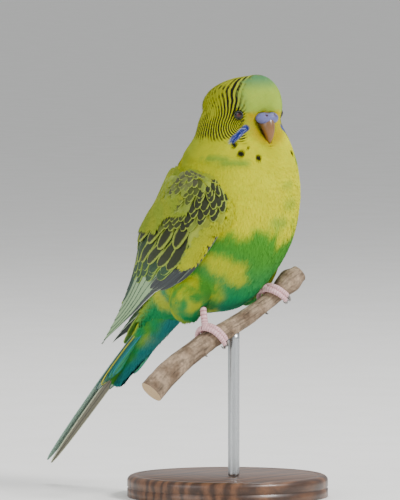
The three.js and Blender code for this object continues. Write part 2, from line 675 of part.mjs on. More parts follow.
const pieces = { torso, neck, head, cere, beak_upper: billUpper, beak_lower: billLower, tail, perch };
for (const foot of FEET) {
  pieces["foot_" + foot.name] = footSolid(foot).subtract(grownPerch).subtract(grownBody);
  for (const toe of TOES) {
    const made = clawSolid(foot, toe).subtract(toeSolid(foot, toe, GAP)).subtract(grownPerch);
    pieces["claw_" + foot.name + "_" + toe.name] = made;
  }
}
for (const thigh of THIGHS) {
  const foot = FEET.find((f) => f.name === thigh.name);
  const made = thighSolid(thigh).subtract(grownBody).subtract(footSolid(foot, GAP));
  pieces["thigh_" + thigh.name] = made.subtract(grownPerch);
}
for (const [name, side] of [["right", -1], ["left", 1]]) {
  let made = wingSolid(side).subtract(grownBody);
  for (const thigh of THIGHS) made = made.subtract(thighSolid(thigh));
  pieces["wing_" + name] = made;
  pieces["eye_" + name] = ball(eyeCenter(side), EYE_RADIUS, 12, 8);
}

// Stand

const baseProfile = [
  [0, 0],
  [BASE_RADIUS, 0],
  [BASE_RADIUS, BASE_HEIGHT - BASE_BEVEL],
  [BASE_RADIUS - BASE_BEVEL, BASE_HEIGHT],
  [0, BASE_HEIGHT],
].map(([x, y]) => new THREE.Vector2(x, y));
const base = new THREE.LatheGeometry(baseProfile, 48);
base.rotateX(Math.PI / 2);

const rodFoot = perchMiddle(ROD_AT).add(new THREE.Vector3(FEET_X, 0, PERCH_TOP));
const rodLow = BASE_HEIGHT + GAP;
const rodShape = new THREE.CylinderGeometry(ROD_RADIUS, ROD_RADIUS, rodFoot.z - rodLow, 20);
rodShape.rotateX(Math.PI / 2);
rodShape.translate(rodFoot.x, rodFoot.y, (rodFoot.z + rodLow) / 2);
const standRod = largest(solid(rodShape).subtract(grownPerch.translate([FEET_X, 0, PERCH_TOP])));

// The whole model

const group = new THREE.Group();
const bird = new THREE.Group();
bird.position.set(FEET_X, 0, PERCH_TOP);
group.add(bird);
const MATERIAL_OF = {
  torso: "plumage",
  neck: "plumage",
  head: "plumage",
  thigh: "plumage",
  cere: "cere",
  beak: "beak",
  tail: "tail",
  perch: "bark",
  foot: "foot",
  claw: "claw",
  wing: "wing",
  eye: "eye",
};
for (const [name, made] of Object.entries(pieces)) {
  const kind = MATERIAL_OF[name.split("_")[0]];
  bird.add(mesh(name, largest(made), MATERIALS[kind]));
}
group.add(mesh("stand_base", solid(base), MATERIALS.wood));
group.add(mesh("stand_rod", standRod, MATERIALS.steel));

export default group;
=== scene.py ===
"""Museum model of a budgerigar: its plumage, bare parts, branch and stand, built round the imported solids."""

import bpy
import numpy as np
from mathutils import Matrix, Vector


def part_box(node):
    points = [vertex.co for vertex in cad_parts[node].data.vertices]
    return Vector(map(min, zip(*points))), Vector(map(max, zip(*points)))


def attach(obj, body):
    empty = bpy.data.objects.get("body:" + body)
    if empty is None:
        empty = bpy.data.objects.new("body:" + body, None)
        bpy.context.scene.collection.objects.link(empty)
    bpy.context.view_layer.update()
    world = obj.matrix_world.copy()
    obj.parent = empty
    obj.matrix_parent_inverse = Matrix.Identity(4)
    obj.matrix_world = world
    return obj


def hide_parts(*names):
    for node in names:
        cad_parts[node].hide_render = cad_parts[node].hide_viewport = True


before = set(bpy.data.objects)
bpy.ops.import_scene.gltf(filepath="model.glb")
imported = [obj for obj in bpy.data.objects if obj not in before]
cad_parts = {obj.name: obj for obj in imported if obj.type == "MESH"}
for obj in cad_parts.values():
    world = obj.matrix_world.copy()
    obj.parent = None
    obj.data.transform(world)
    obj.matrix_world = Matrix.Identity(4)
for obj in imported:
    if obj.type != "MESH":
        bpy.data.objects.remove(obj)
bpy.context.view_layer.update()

bl_info = {
    "name": "Perched Budgerigar Model",
    "version": (1, 0, 0),
    "blender": (4, 5, 0),
    "location": "View3D > Sidebar > Budgerigar",
    "description": "Builds a life-size budgerigar on a branch, with feathers, bare parts and a display stand",
    "category": "Add Mesh",
}

# Lengths below are millimetres from the top of the branch between the feet: x forward, y to the bird's left
ORIGIN = np.array([10.0, 0.0, 80.0])
METRES = 0.001
UP = np.array([0.0, 0.0, 1.0])

BODY_KEYS = ("x", "z", "tilt", "yaw", "front", "back", "side", "keen")
BODY_ROWS = (
    ("rump end", -69.0, -30.8, 40, 0, 3.0, 3.0, 6.0, 2),
    ("rump", -59.8, -19.7, 40, 0, 4.0, 4.0, 8.0, 2),
    ("tail root", -48.0, -5.4, 40, 0, 7.5, 6.5, 9.5, 2),
    ("vent", -37.0, 3.5, 40, 0, 13.5, 12.5, 14.5, 2),
    ("lower belly", -25.0, 12.0, 36, 0, 22.5, 24.5, 22.0, 2),
    ("belly", -16.0, 22.0, 32, 0, 25.5, 28.5, 25.0, 2),
    ("breast", -9.0, 38.0, 25, 0, 29.5, 28.5, 26.5, 2),
    ("shoulder", -5.0, 52.0, 18, 0, 29.0, 26.0, 25.0, 2),
    ("throat", -2.5, 62.0, 10, -3, 24.5, 24.0, 22.5, 2),
    ("neck", -1.0, 70.0, 3, -7, 19.3, 23.0, 18.6, 1.95),
    ("cheek", -1.0, 77.0, 0, -10, 15.5, 23.0, 15.6, 1.9),
    ("brow", 0.3, 83.0, 0, -10, 14.6, 22.4, 14.6, 2.1),
)
DOME_HEIGHT = 13.2
DOME_LEAN = 6.5
DOME_KEEN = 2.05
DOME_LENGTH = DOME_HEIGHT * np.pi / 2
FACE_DENT = {"u": 129.5, "depth": 4.6, "high": 7.0, "wide": 19.0}

WING_KEYS = ("x", "z", "tilt", "front", "back", "side", "low", "high")
WING_ROWS = (
    ("wrist", -3.8, 58, 14, 26.5, 26.5, 25.5, 76, 126),
    ("lesser", -5.5, 50, 19, 31.0, 29.0, 27.8, 59, 145),
    ("elbow", -8.0, 41, 24, 31.5, 31.0, 29.3, 57, 158),
    ("coverts", -12.3, 30, 28, 29.5, 33.0, 29.5, 62, 168),
    ("secondaries", -18, 20.5, 33, 27.0, 34.5, 28.3, 66, 172),
    ("tertials", -27, 12, 38, 24.0, 32.5, 24.0, 74, 174),
    ("primaries", -40, 4, 42, 14.0, 22.5, 17.0, 82, 172),
    ("points", -55, -5, 45, 8.0, 13.0, 11.3, 85, 165),
    ("tip", -77.0, -19, 48, 4.0, 3.5, 6.0, 96, 140),
)

EYE = {"u": 135.8, "v": 51.0, "radius": 2.3, "out": 0.7}
CERE = {"forward": 14.9, "left": 2.5, "up": 78.7}
BILL = ((11, 78.6, 3.6, 3.4), (13.6, 77.6, 3.5, 3.2), (15.2, 75.2, 3.0, 2.8), (15.9, 72.3, 2.2, 2.1),
        (15.9, 69.6, 1.3, 1.3), (15.5, 67.6, 0.4, 0.4))
UNDER_BILL = ((9, 73.2, 2.6, 3.2), (11.2, 72, 2.2, 3.0), (12.9, 70.9, 1.5, 2.4), (13.9, 70.5, 0.5, 1.2))

PERCH_YAW = 19.0
PERCH = ((-46, -34.2, 5.3), (-37, -25.8, 5.1), (-21.3, -15.7, 4.5), (-10.2, -9.7, 4.0), (-0.5, -5.0, 3.7),
         (7.8, -0.2, 3.6), (15, 5.0, 3.9), (21.3, 9.9, 5.2), (26, 13.2, 5.8))
TOE_RADIUS = 1.15
TOES = (("inner_front", 0.9, 2.6, 118), ("outer_front", -0.9, 3.4, 140),
        ("inner_hind", 0.7, -0.4, -98), ("outer_hind", -0.9, -2.6, -118))
FEET = (("right", -17.0, (-10.6, -15.3, -0.6)), ("left", 12.6, (-3.5, 12.6, 13.5)))
THIGHS = (
    ("right", ((-6, -10, 17), (-13, -15, 9), (-18.5, -16, 1.5), (-18.5, -14.8, -5.5)), (6, 8.2, 7.4, 2.6)),
    ("left", ((0, 12, 24), (-4, 13.5, 15), (-8, 14, 7), (-12, 14, 1)), (8, 7.2, 5, 1.2)),
)

TAIL_ROOT = np.array([-44.0, 0.0, -1.2])
TAIL_DOWN = np.radians(46.3)
TAIL_ALONG = np.array([-np.cos(TAIL_DOWN), 0, -np.sin(TAIL_DOWN)])
TAIL_UP = np.array([-np.sin(TAIL_DOWN), 0, np.cos(TAIL_DOWN)])


def linear(code):
    """sRGB hex to linear RGB."""
    c = np.array([int(code[i:i + 2], 16) for i in (1, 3, 5)]) / 255
    return np.where(c <= 0.04045, c / 12.92, ((c + 0.055) / 1.055) ** 2.4)


def rgba(code):
    return (*linear(code), 1.0)


def smooth(low, high, x):
    """0 at low, 1 at high, eased; low may be above high."""
    t = np.clip((x - low) / (high - low), 0, 1)
    return t * t * (3 - 2 * t)


def mix(a, b, share):
    """a where the share is 0, b where it is 1."""
    return a + (b - a) * np.asarray(share)[..., None]


def unit(p):
    return p / np.maximum(np.linalg.norm(p, axis=-1, keepdims=True), 1e-9)


def noise(p, size, seed):
    """Smooth value noise from -1 to 1: random values on a lattice of the given size, blended between."""
    q = p / size + 1000.0
    cell = np.floor(q).astype(np.int64)
    t = q - cell
    t = t * t * (3 - 2 * t)
    total = np.zeros(p.shape[:-1])
    for corner in np.ndindex(2, 2, 2):
        k = cell + np.array(corner)
        h = (k[..., 0] * 73856093) ^ (k[..., 1] * 19349663) ^ (k[..., 2] * 83492791) ^ (seed * 2654435761)
        h = (h ^ (h >> 13)) * 1274126177 & 0xFFFFFFFF
        value = ((h ^ (h >> 16)) & 0xFFFF) / 32767.5 - 1
        weight = np.prod(np.where(np.array(corner), t, 1 - t), axis=-1)
        total += value * weight
    return total


# Shapes shared with the solids


def spline(places, values, t, level=False):
    """A cubic between given places whose slope at each is the mean slope of its neighbours."""
    places = np.asarray(places, float)
    values = np.asarray(values, float)
    last = len(places) - 1
    k = np.arange(last + 1)
    lo = np.maximum(k - 1, 0)
    hi = np.minimum(k + 1, last)
    slope = (values[hi] - values[lo]) / (places[hi] - places[lo])
    if level:
        slope[last] = 0
    i = np.clip(np.searchsorted(places, t, side="left") - 1, 0, last - 1)
    span = places[i + 1] - places[i]
    s = (t - places[i]) / span
    s2 = s * s
    s3 = s2 * s
    return (values[i] * (2 * s3 - 3 * s2 + 1) + values[i + 1] * (3 * s2 - 2 * s3)
            + span * (slope[i] * (s3 - 2 * s2 + s) + slope[i + 1] * (s3 - s2)))


class Loft:
    """Stations read as smooth functions of the distance along their middle line."""

    def __init__(self, keys, rows):
        self.names = [row[0] for row in rows]
        self.table = dict(zip(keys, np.array([row[1:] for row in rows], float).T))
        steps = np.hypot(np.diff(self.table["x"]), np.diff(self.table["z"]))
        self.places = np.concatenate([[0], np.cumsum(steps)])
        self.end = self.places[-1]

    def at(self, name):
        return self.places[self.names.index(name)]

    def read(self, key, u, level=False):
        return spline(self.places, self.table[key], u, level)


BODY = Loft(BODY_KEYS, BODY_ROWS)
WING = Loft(WING_KEYS, WING_ROWS)
BROW = BODY.end
CROWN = BROW + DOME_LENGTH


def facing(tilt, yaw):
    """The forward direction turned left by yaw and tipped down by tilt, in degrees."""
    t = np.radians(tilt)
    y = np.radians(yaw)
    return np.stack([np.cos(y) * np.cos(t), np.sin(y) * np.cos(t), -np.sin(t)], -1)


def oval(middle, front, side, v, ahead, behind, across, keen):
    """middle + front x forward + side x sideways, with powers of the cosine and sine of v."""
    c = np.cos(np.radians(v))
    n = np.sin(np.radians(v))
    power = np.where(c > 0, 2 / keen, 1.0)
    forward = np.sign(c) * np.abs(c) ** power * np.where(c > 0, ahead, behind)
    sideways = np.sign(n) * np.abs(n) ** power * across
    return middle + front * forward[..., None] + side * sideways[..., None]


def surface(u, v):
    """The plumage's outer form: ovals along the middle line, a dome for the crown and a dent for the bill."""
    u, v = np.broadcast_arrays(np.asarray(u, float), np.asarray(v, float))
    base = np.minimum(u, BROW)
    yaw = BODY.read("yaw", base, True)
    front = facing(BODY.read("tilt", base, True), yaw)
    side = np.stack([-np.sin(np.radians(yaw)), np.cos(np.radians(yaw)), 0 * yaw], -1)
    turn = np.clip((u - BROW) / DOME_LENGTH, 0, 1) * np.pi / 2
    shrink = np.maximum(np.cos(turn), 0) ** (2 / DOME_KEEN)
    middle = np.stack([BODY.read("x", base, True), 0 * base, BODY.read("z", base)], -1)
    middle = middle + front * (DOME_LEAN * (1 - shrink))[..., None]
    middle = middle + UP * (DOME_HEIGHT * np.sin(turn) ** (2 / DOME_KEEN))[..., None]
    sizes = [BODY.read(key, base, True) * shrink for key in ("front", "back", "side")]
    p = oval(middle, front, side, v, *sizes, BODY.read("keen", base, True))
    far = ((u - FACE_DENT["u"]) / FACE_DENT["high"]) ** 2 + (v / FACE_DENT["wide"]) ** 2
    return p - front * (FACE_DENT["depth"] * np.exp(-far))[..., None]


def slopes(u, v):
    """Point, outward normal, and change of the point for one more unit of u and of v."""
    along = surface(u + 0.4, v) - surface(u - 0.4, v)
    around = surface(u, v + 1) - surface(u, v - 1)
    return surface(u, v), unit(np.cross(around, along)), along / 0.8, around / 2


def wing_face(s, t):
    """The solid wing's outer face, ovals along its own middle line, see wing_surface."""
    u = np.clip(s, 0, 1) * WING.end
    low = WING.read("low", u)
    v = low + (WING.read("high", u) - low) * (t + 1) / 2
    middle = np.stack([WING.read("x", u), 0 * u, WING.read("z", u)], -1)
    front = facing(WING.read("tilt", u), 0 * u)
    sizes = [WING.read(key, u) for key in ("front", "back", "side")]
    return oval(middle, front, np.array([0.0, 1.0, 0.0]), v, *sizes, 2.0)


def wing_surface(side, s, t, h):
    """The folded wing: s from wrist to tip, t from the lower edge to the back edge, h above its face."""
    s, t, h = np.broadcast_arrays(s, t, h)
    ds = wing_face(s + 0.01, t) - wing_face(s - 0.01, t)
    dt = wing_face(s, t + 0.02) - wing_face(s, t - 0.02)
    p = wing_face(s, t) - unit(np.cross(dt, ds)) * h[..., None]
    return p * np.array([1.0, side, 1.0])


HEAD_FRONT = facing(0.0, -10.0)
HEAD_SIDE = np.cross(UP, HEAD_FRONT)
HEAD_X = BODY.read("x", BODY.at("cheek"))


def on_face(forward, left, up):
    """A point given by distances forward and left of the head's middle line, at the height up."""
    forward, left, up = np.broadcast_arrays(np.asarray(forward, float), left, up)
    origin = np.stack([HEAD_X + 0 * up, 0 * up, up], -1)
    return origin + HEAD_FRONT * forward[..., None] + HEAD_SIDE * left[..., None]


BILL_ROOT = on_face(13.0, 0.0, 77.0)


def path(points, t):
    """A smooth line through points, t from 0 to 1."""
    points = np.asarray(points, float)
    places = np.linspace(0, 1, len(points))
    return np.stack([spline(places, points[:, k], t) for k in range(3)], -1)


def around_line(middle, ahead, reference, radius, turn):
    """Points round a line: middle plus radius times the cosine and sine of turn, on directions across it."""
    one = unit(np.cross(ahead, reference))
    a = np.radians(turn)[..., None]
    return middle + np.asarray(radius)[..., None] * (one * np.cos(a) + np.cross(ahead, one) * np.sin(a))


def pipe(points, radius, t, turn, reference=(1.0, 0.0, 0.0)):
    """A round tube along the smooth line through points."""
    ahead = unit(path(points, t + 0.01) - path(points, t - 0.01))
    return around_line(path(points, t), ahead, reference, radius, turn)


def tube_grid(rows, around, end=1.0):
    """Places along a tube from 0 to end as a column, and degrees round it as a row."""
    return np.linspace(0, end, rows)[:, None], np.linspace(0, 360, around, endpoint=False)[None]


def ball(rows, around, inset, pole, one, two):
    """Directions all round: pole and a ring of one and two, by cosine and sine of the angle from the pole."""
    polar = np.linspace(inset, np.pi - inset, rows)[:, None, None]
    turn = np.linspace(0, 2 * np.pi, around, endpoint=False)[None, :, None]
    return pole * np.cos(polar) + (one * np.cos(turn) + two * np.sin(turn)) * np.sin(polar)


# Meshes


def volume(points, faces):
    """Six times the volume inside the faces, negative where they point inwards."""
    total = 0.0
    for rows in faces:
        a = points[rows[:, 0]]
        for k in range(1, rows.shape[1] - 1):
            total += np.einsum("ij,ij->", a, np.cross(points[rows[:, k]], points[rows[:, k + 1]]))
    return total


def make_piece(name, points, faces, material, maps=None, marks=None, replaces=(), sharp=None):
    """Puts arrays into a mesh object. maps are rows of UV for each face, marks are values for each point."""
    points = np.asarray(points, float).reshape(-1, 3)
    if volume(points - points.mean(0), faces) < 0:
        faces = [rows[:, ::-1] for rows in faces]
        maps = [rows[:, ::-1] for rows in maps] if maps else None
    mesh = bpy.data.meshes.new(name)
    loops = np.concatenate([rows.ravel() for rows in faces]).astype(np.int32)
    counts = np.concatenate([np.full(len(rows), rows.shape[1]) for rows in faces])
    starts = np.concatenate([[0], np.cumsum(counts)[:-1]]).astype(np.int32)
    mesh.vertices.add(len(points))
    mesh.vertices.foreach_set("co", ((points + ORIGIN) * METRES).astype(np.float32).ravel())
    mesh.loops.add(len(loops))
    mesh.loops.foreach_set("vertex_index", loops)
    mesh.polygons.add(len(counts))
    mesh.polygons.foreach_set("loop_start", starts)
    mesh.polygons.foreach_set("use_smooth", np.ones(len(counts), bool))
    mesh.update(calc_edges=True)
    if maps:
        layer = mesh.uv_layers.new(name="OFBake")
        uv = np.concatenate([rows.reshape(-1, 2) for rows in maps]).astype(np.float32)
        layer.uv.foreach_set("vector", uv.ravel())
    for key, values in (marks or {}).items():
        values = np.asarray(values, np.float32).reshape(len(points), -1)
        kind, field = {1: ("FLOAT", "value"), 3: ("FLOAT_VECTOR", "vector")}[values.shape[1]]
        mesh.attributes.new(key, kind, "POINT").data.foreach_set(field, values.ravel())
    if sharp is not None:
        ends = np.empty(len(mesh.edges) * 2, np.int32)
        mesh.edges.foreach_get("vertices", ends)
        hard = sharp(ends.reshape(-1, 2))
        mesh.attributes.new("sharp_edge", "BOOLEAN", "EDGE").data.foreach_set("value", hard)
    mesh.validate()
    piece = bpy.data.objects.new(name, mesh)
    bpy.context.scene.collection.objects.link(piece)
    mesh.materials.append(material)
    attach(piece, "root")
    if replaces:
        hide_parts(*replaces)
    return piece


CELL = ((0, 0), (1, 0), (1, 1), (0, 1))


def grid_faces(rows, around, closed):
    """Faces and UV of a grid closed round each row and, if closed is true, from its last row to its first."""
    i, j = np.meshgrid(np.arange(rows if closed else rows - 1), np.arange(around), indexing="ij")
    quads = np.stack([(i + y) % rows * around + (j + x) % around for x, y in CELL], -1)
    maps = np.stack([np.stack([(j + x) / around, (i + y) / len(i)], -1) for x, y in CELL], -2)
    return quads.reshape(-1, 4), maps.reshape(-1, 4, 2)


def closed_tube(p):
    """Points, faces and UV of a grid (rows, around) closed round each row, with a fan at both ends."""
    rows, around = p.shape[:2]
    quads, quad_map = grid_faces(rows, around, False)
    ring = np.arange(around)
    after = (ring + 1) % around
    first = rows * around
    last = first - around
    fans = [np.stack([0 * ring + first, after, ring], -1),
            np.stack([0 * ring + first + 1, last + ring, last + after], -1)]
    corners = (((0.5, 0.0), (1, 0.004), (0, 0.004)), ((0.5, 1.0), (0, 0.996), (1, 0.996)))
    fan_maps = [np.stack([np.stack([(ring + x) / around, 0 * ring + y], -1) for x, y in three], -2)
                for three in corners]
    points = np.concatenate([p.reshape(-1, 3), p[0].mean(0)[None], p[-1].mean(0)[None]])
    return points, [quads, *fans], [quad_map, *fan_maps]


def ends_too(values):
    """Values of a tube's grid with the two end points' values added."""
    flat = values.reshape(-1, *values.shape[2:])
    return np.concatenate([flat, values[0].mean(0)[None], values[-1].mean(0)[None]])


def join(parts):
    """Several sets of points, faces and UV as one."""
    starts = np.cumsum([0] + [len(points) for points, _, _ in parts])
    faces = [rows + start for (_, sets, _), start in zip(parts, starts) for rows in sets]
    points = np.concatenate([points for points, _, _ in parts])
    return points, faces, [rows for _, _, sets in parts for rows in sets]


def tube_piece(name, p, material, replaces=(), slot=None, **marks):
    """A piece made of one closed tube, with marks given on its grid."""
    points, faces, maps = closed_tube(p)
    marks = {key: ends_too(np.broadcast_to(values, p.shape[:2] + np.shape(values)[2:]))
             for key, values in marks.items()}
    return make_piece(name, points, faces, material, maps, marks, replaces)


def plates(top, bottom):
    """Faces and UV of thin plates given as two sheets (plate, along, across), joined round their rims."""
    count, rows, columns = top.shape[:3]
    sheet = rows * columns
    grid = np.arange(sheet).reshape(rows, columns)
    quads = np.stack([grid[:-1, :-1], grid[:-1, 1:], grid[1:, 1:], grid[1:, :-1]], -1).reshape(-1, 4)
    rim = np.concatenate([grid[0, :-1], grid[:-1, -1], grid[-1, :0:-1], grid[:0:-1, 0]])
    after = np.roll(rim, -1)
    wall = np.stack([after, rim, rim + sheet, after + sheet], -1)
    one = np.concatenate([quads, quads[:, ::-1] + sheet, wall])
    faces = (one[None] + (np.arange(count) * 2 * sheet)[:, None, None]).reshape(-1, 4)
    points = np.stack([top, bottom], 1).reshape(-1, 3)
    wide = int(np.ceil(np.sqrt(count)))
    tile = np.arange(count)
    row, column = np.divmod(one % sheet, columns)
    local = np.stack([0.06 + 0.88 * column / (columns - 1), 0.06 + 0.88 * row / (rows - 1)], -1)
    place = np.stack([tile % wide, tile // wide], -1)[:, None, None]
    uv = ((place + local[None]) / wide).reshape(-1, 4, 2)
    rim_set = np.zeros(sheet, bool)
    rim_set[rim] = True

    def hard(ends):
        a = ends % (2 * sheet)
        return rim_set[a % sheet].all(-1) & ((a // sheet)[:, 0] == (a // sheet)[:, 1])

    return points, [faces], [uv], hard


# Materials


def add(tree, kind, inputs=(), **settings):
    """Adds a shader node with its settings, and gives its outputs. Inputs come in order, or by name or
    number: a socket is linked, any other value is set."""
    made = tree.nodes.new("ShaderNode" + kind)
    for key, value in settings.items():
        setattr(made, key, value)
    for key, value in inputs.items() if isinstance(inputs, dict) else enumerate(inputs):
        if isinstance(value, bpy.types.NodeSocket):
            tree.links.new(value, made.inputs[key])
        else:
            made.inputs[key].default_value = value
    return made.outputs


def new_tree(name):
    """The empty node tree of a new material."""
    made = bpy.data.materials.new(name)
    made.use_nodes = True
    made.node_tree.nodes.clear()
    return made, made.node_tree


def finish(made, height=None, strength=0.0, depth=0.0001, **inputs):
    """Joins a Principled shader with the given inputs to the material's output, and where a height pattern is
    given, relief of that depth in metres to the shader."""
    tree = made.node_tree
    inputs = {key.replace("_", " "): value for key, value in inputs.items()}
    if height:
        inputs["Normal"] = add(tree, "Bump", {"Strength": strength, "Distance": depth, "Height": height})[0]
    add(tree, "OutputMaterial", add(tree, "BsdfPrincipled", inputs))
    return made


def grain_of(tree, scale, detail, stretch=(1, 1, 1)):
    """Noise fixed to the piece, its scale in patches for each metre."""
    place = add(tree, "TexCoord")["Object"]
    place = add(tree, "Mapping", {"Vector": place, "Scale": stretch})[0]
    return add(tree, "TexNoise", {"Vector": place, "Scale": scale, "Detail": detail})[0]


def waves(tree, place, length):
    """The sine of a place, from -1 to 1, with waves of the given length."""
    turn = add(tree, "Math", (place, 2 * np.pi / length), operation="MULTIPLY")[0]
    return add(tree, "Math", (turn,), operation="SINE")[0]


def three_marks(tree, name):
    """The three numbers of one of the piece's own marks."""
    return add(tree, "SeparateXYZ", (add(tree, "Attribute", attribute_name=name)["Vector"],))


def lit(tree, colour, pattern, low, high, dark, pale):
    """The colour times a factor that goes from dark to pale as the pattern goes from low to high."""
    factor = add(tree, "MapRange", (pattern, low, high, dark, pale))[0]
    return add(tree, "VectorMath", {0: colour, "Scale": factor}, operation="SCALE")[0]


def soft_plumage():
    """Contour feathers of keratin barbs: matt and soft, with dark bars where the marks say so."""
    made, tree = new_tree("contour_feather_keratin")
    phase, strength, _ = three_marks(tree, "Marks")
    wave = waves(tree, phase, 1.0)
    # The dark share of a bar is a little over half
    bar = add(tree, "MapRange", (wave, -0.35, 0.15, 0.0, 1.0))[0]
    share = add(tree, "Math", (bar, strength), operation="MULTIPLY")[0]
    tint = add(tree, "Attribute", attribute_name="Tint")["Color"]
    colour = add(tree, "Mix", {0: share, 6: tint, 7: rgba("#20211a")}, data_type="RGBA")[2]
    # Barbs about 0.25 mm apart
    return finish(made, grain_of(tree, 4000.0, 2.0), 0.12, Base_Color=colour, Roughness=0.85,
                  Specular_IOR_Level=0.06)


def firm_vane():
    """Wing and tail vanes: a dark or pale centre inside a coloured edge, a shaft, and barbs that slant from
    it. They are smoother than the soft plumage, with a faint sheen."""
    made, tree = new_tree("flight_feather_keratin")
    sideways, ahead, half = three_marks(tree, "Vane")
    rim, shaft, _ = three_marks(tree, "Trim")
    across = add(tree, "Math", (sideways,), operation="ABSOLUTE")[0]
    edge = add(tree, "Math", (half, across), operation="SUBTRACT")[0]
    near = add(tree, "Math", (edge, ahead, 0.6), operation="SMOOTH_MIN")[0]
    # Patches of about a millimetre break the line between centre and edge
    waver = add(tree, "Math", (grain_of(tree, 900.0, 3.0), 0.9, -0.45), operation="MULTIPLY_ADD")[0]
    near = add(tree, "Math", (near, waver), operation="ADD")[0]
    start = add(tree, "Math", (rim, 0.55), operation="MULTIPLY")[0]
    stop = add(tree, "Math", (rim, 1.5, 0.02), operation="MULTIPLY_ADD")[0]
    inside = add(tree, "MapRange", (near, start, stop, 0.0, 0.96), interpolation_type="SMOOTHSTEP")[0]
    tint, core = (add(tree, "Attribute", attribute_name=name)["Color"] for name in ("Tint", "Core"))
    colour = add(tree, "Mix", {0: inside, 6: tint, 7: core}, data_type="RGBA")[2]
    line = add(tree, "MapRange", (across, 0.12, 0.3, 1.0, 0.0))[0]
    line = add(tree, "Math", (line, shaft), operation="MULTIPLY")[0]
    colour = add(tree, "Mix", {0: line, 6: colour, 7: rgba("#2b2a26")}, data_type="RGBA")[2]
    # Barbs slant towards the tip and are drawn 0.6 mm apart, coarser than real ones. The same waves paint the
    # colour darker between barbs and paler on them, a painted shade of their relief
    slant = add(tree, "Math", (across, 0.8, ahead), operation="MULTIPLY_ADD")[0]
    ridge = waves(tree, slant, 0.6)
    return finish(made, ridge, 0.35, 0.00006, Base_Color=lit(tree, colour, ridge, -1.0, 1.0, 0.9, 1.06),
                  Roughness=0.6, Specular_IOR_Level=0.2)


def plumage():
    """The soft plumage's material, made at its first use."""
    return bpy.data.materials.get("contour_feather_keratin") or soft_plumage()


def vanes():
    """The material of wing and tail vanes, made at its first use."""
    return bpy.data.materials.get("flight_feather_keratin") or firm_vane()


def patterned(name, dark, pale, scale, roughness, bump=0.2, **more):
    """Two colours blended by noise of a given scale, with the same noise as relief."""
    made, tree = new_tree(name)
    grain = grain_of(tree, scale, 5.0)
    share = add(tree, "MapRange", (grain, 0.32, 0.68, 0.0, 1.0))[0]
    colour = add(tree, "Mix", {0: share, 6: rgba(dark), 7: rgba(pale)}, data_type="RGBA")[2]
    return finish(made, grain, bump, Base_Color=colour, Roughness=roughness, **more)


def graded(name, stops, scale, roughness, **more):
    """Colours along the mark named Along, from 0 to 1, with a fine noise in their lightness."""
    made, tree = new_tree(name)
    ramp = add(tree, "ValToRGB", (add(tree, "Attribute", attribute_name="Along")["Fac"],))[0]
    elements = ramp.node.color_ramp.elements
    while len(elements) < len(stops):
        elements.new(0.5)
    for element, (position, code) in zip(elements, stops):
        element.position = position
        element.color = rgba(code)
    grain = grain_of(tree, scale, 4.0)
    return finish(made, grain, 0.15, Base_Color=lit(tree, ramp, grain, 0.3, 0.7, 0.82, 1.12),
                  Roughness=roughness, **more)


# Plumage colours

YELLOW = linear("#dede00")
LEMON = linear("#eaea10")
FACE_YELLOW = linear("#d0b600")
MANTLE = linear("#a2b02a")
FLANK = linear("#bcc41c")
LEAF = linear("#4f9a30")
SEA = linear("#279455")
TEAL = linear("#178c80")
FOREHEAD = linear("#b0cc48")
FOREHEAD_EDGE = linear("#5c9460")
BARRED = linear("#b7bd24")
VIOLET = linear("#222d7e")
PALE_VIOLET = linear("#98a4dc")
INK = linear("#1d1e18")

# Places on the body and radius in mm, then patches as blotch reads them
THROAT_SPOTS = ((124.3, -57, 1.35), (121.5, -49, 1.7), (123.5, -40.5, 0.7), (120.5, -30, 1.35),
                (121.7, 28, 1.2), (122.5, 50, 1.3))
GREEN_BLOTCHES = ((118.6, -76, 8.0, 1.5, 0.55), (118.2, -55, 7.0, 1.6, 0.6), (107, 5, 4.5, 3.0, 0.35),
                  (113, 2, 4.0, 2.2, 0.3), (119.5, 42, 4.0, 3.0, 0.65), (101, -8, 5.0, 3.0, 0.5))
YELLOW_PATCHES = ((80, -46, 11.0, 4.5, 0.9), (77, -28, 7.0, 4.0, 0.8), (56, -22, 5.0, 4.5, 0.8),
                  (82, 60, 9.0, 4.5, 0.7), (63, -60, 6.0, 6.0, 0.6), (47, -84, 6.0, 5.0, 0.75),
                  (57, 35, 5.0, 4.5, 0.6))


def blotch(p, rows, wobble):
    """The strongest of several soft patches, given by place, reach round and along in mm, and strength."""
    total = np.zeros(p.shape[:-1])
    for cu, cv, wide, high, strength in rows:
        middle, _, along, around = slopes(np.array(cu, float), np.array(cv, float))
        d = p - middle
        a = d @ unit(around) / wide
        b = d @ unit(along) / high
        far = np.sqrt(a * a + b * b) + wobble
        total = np.maximum(total, strength * smooth(1.35, 0.55, far))
    return total


def off_line(p, a, b):
    """Distance of points from the straight line between a and b."""
    t = np.clip((p - a) @ (b - a) / ((b - a) @ (b - a)), 0, 1)
    return np.linalg.norm(p - (a + t[..., None] * (b - a)), axis=-1)


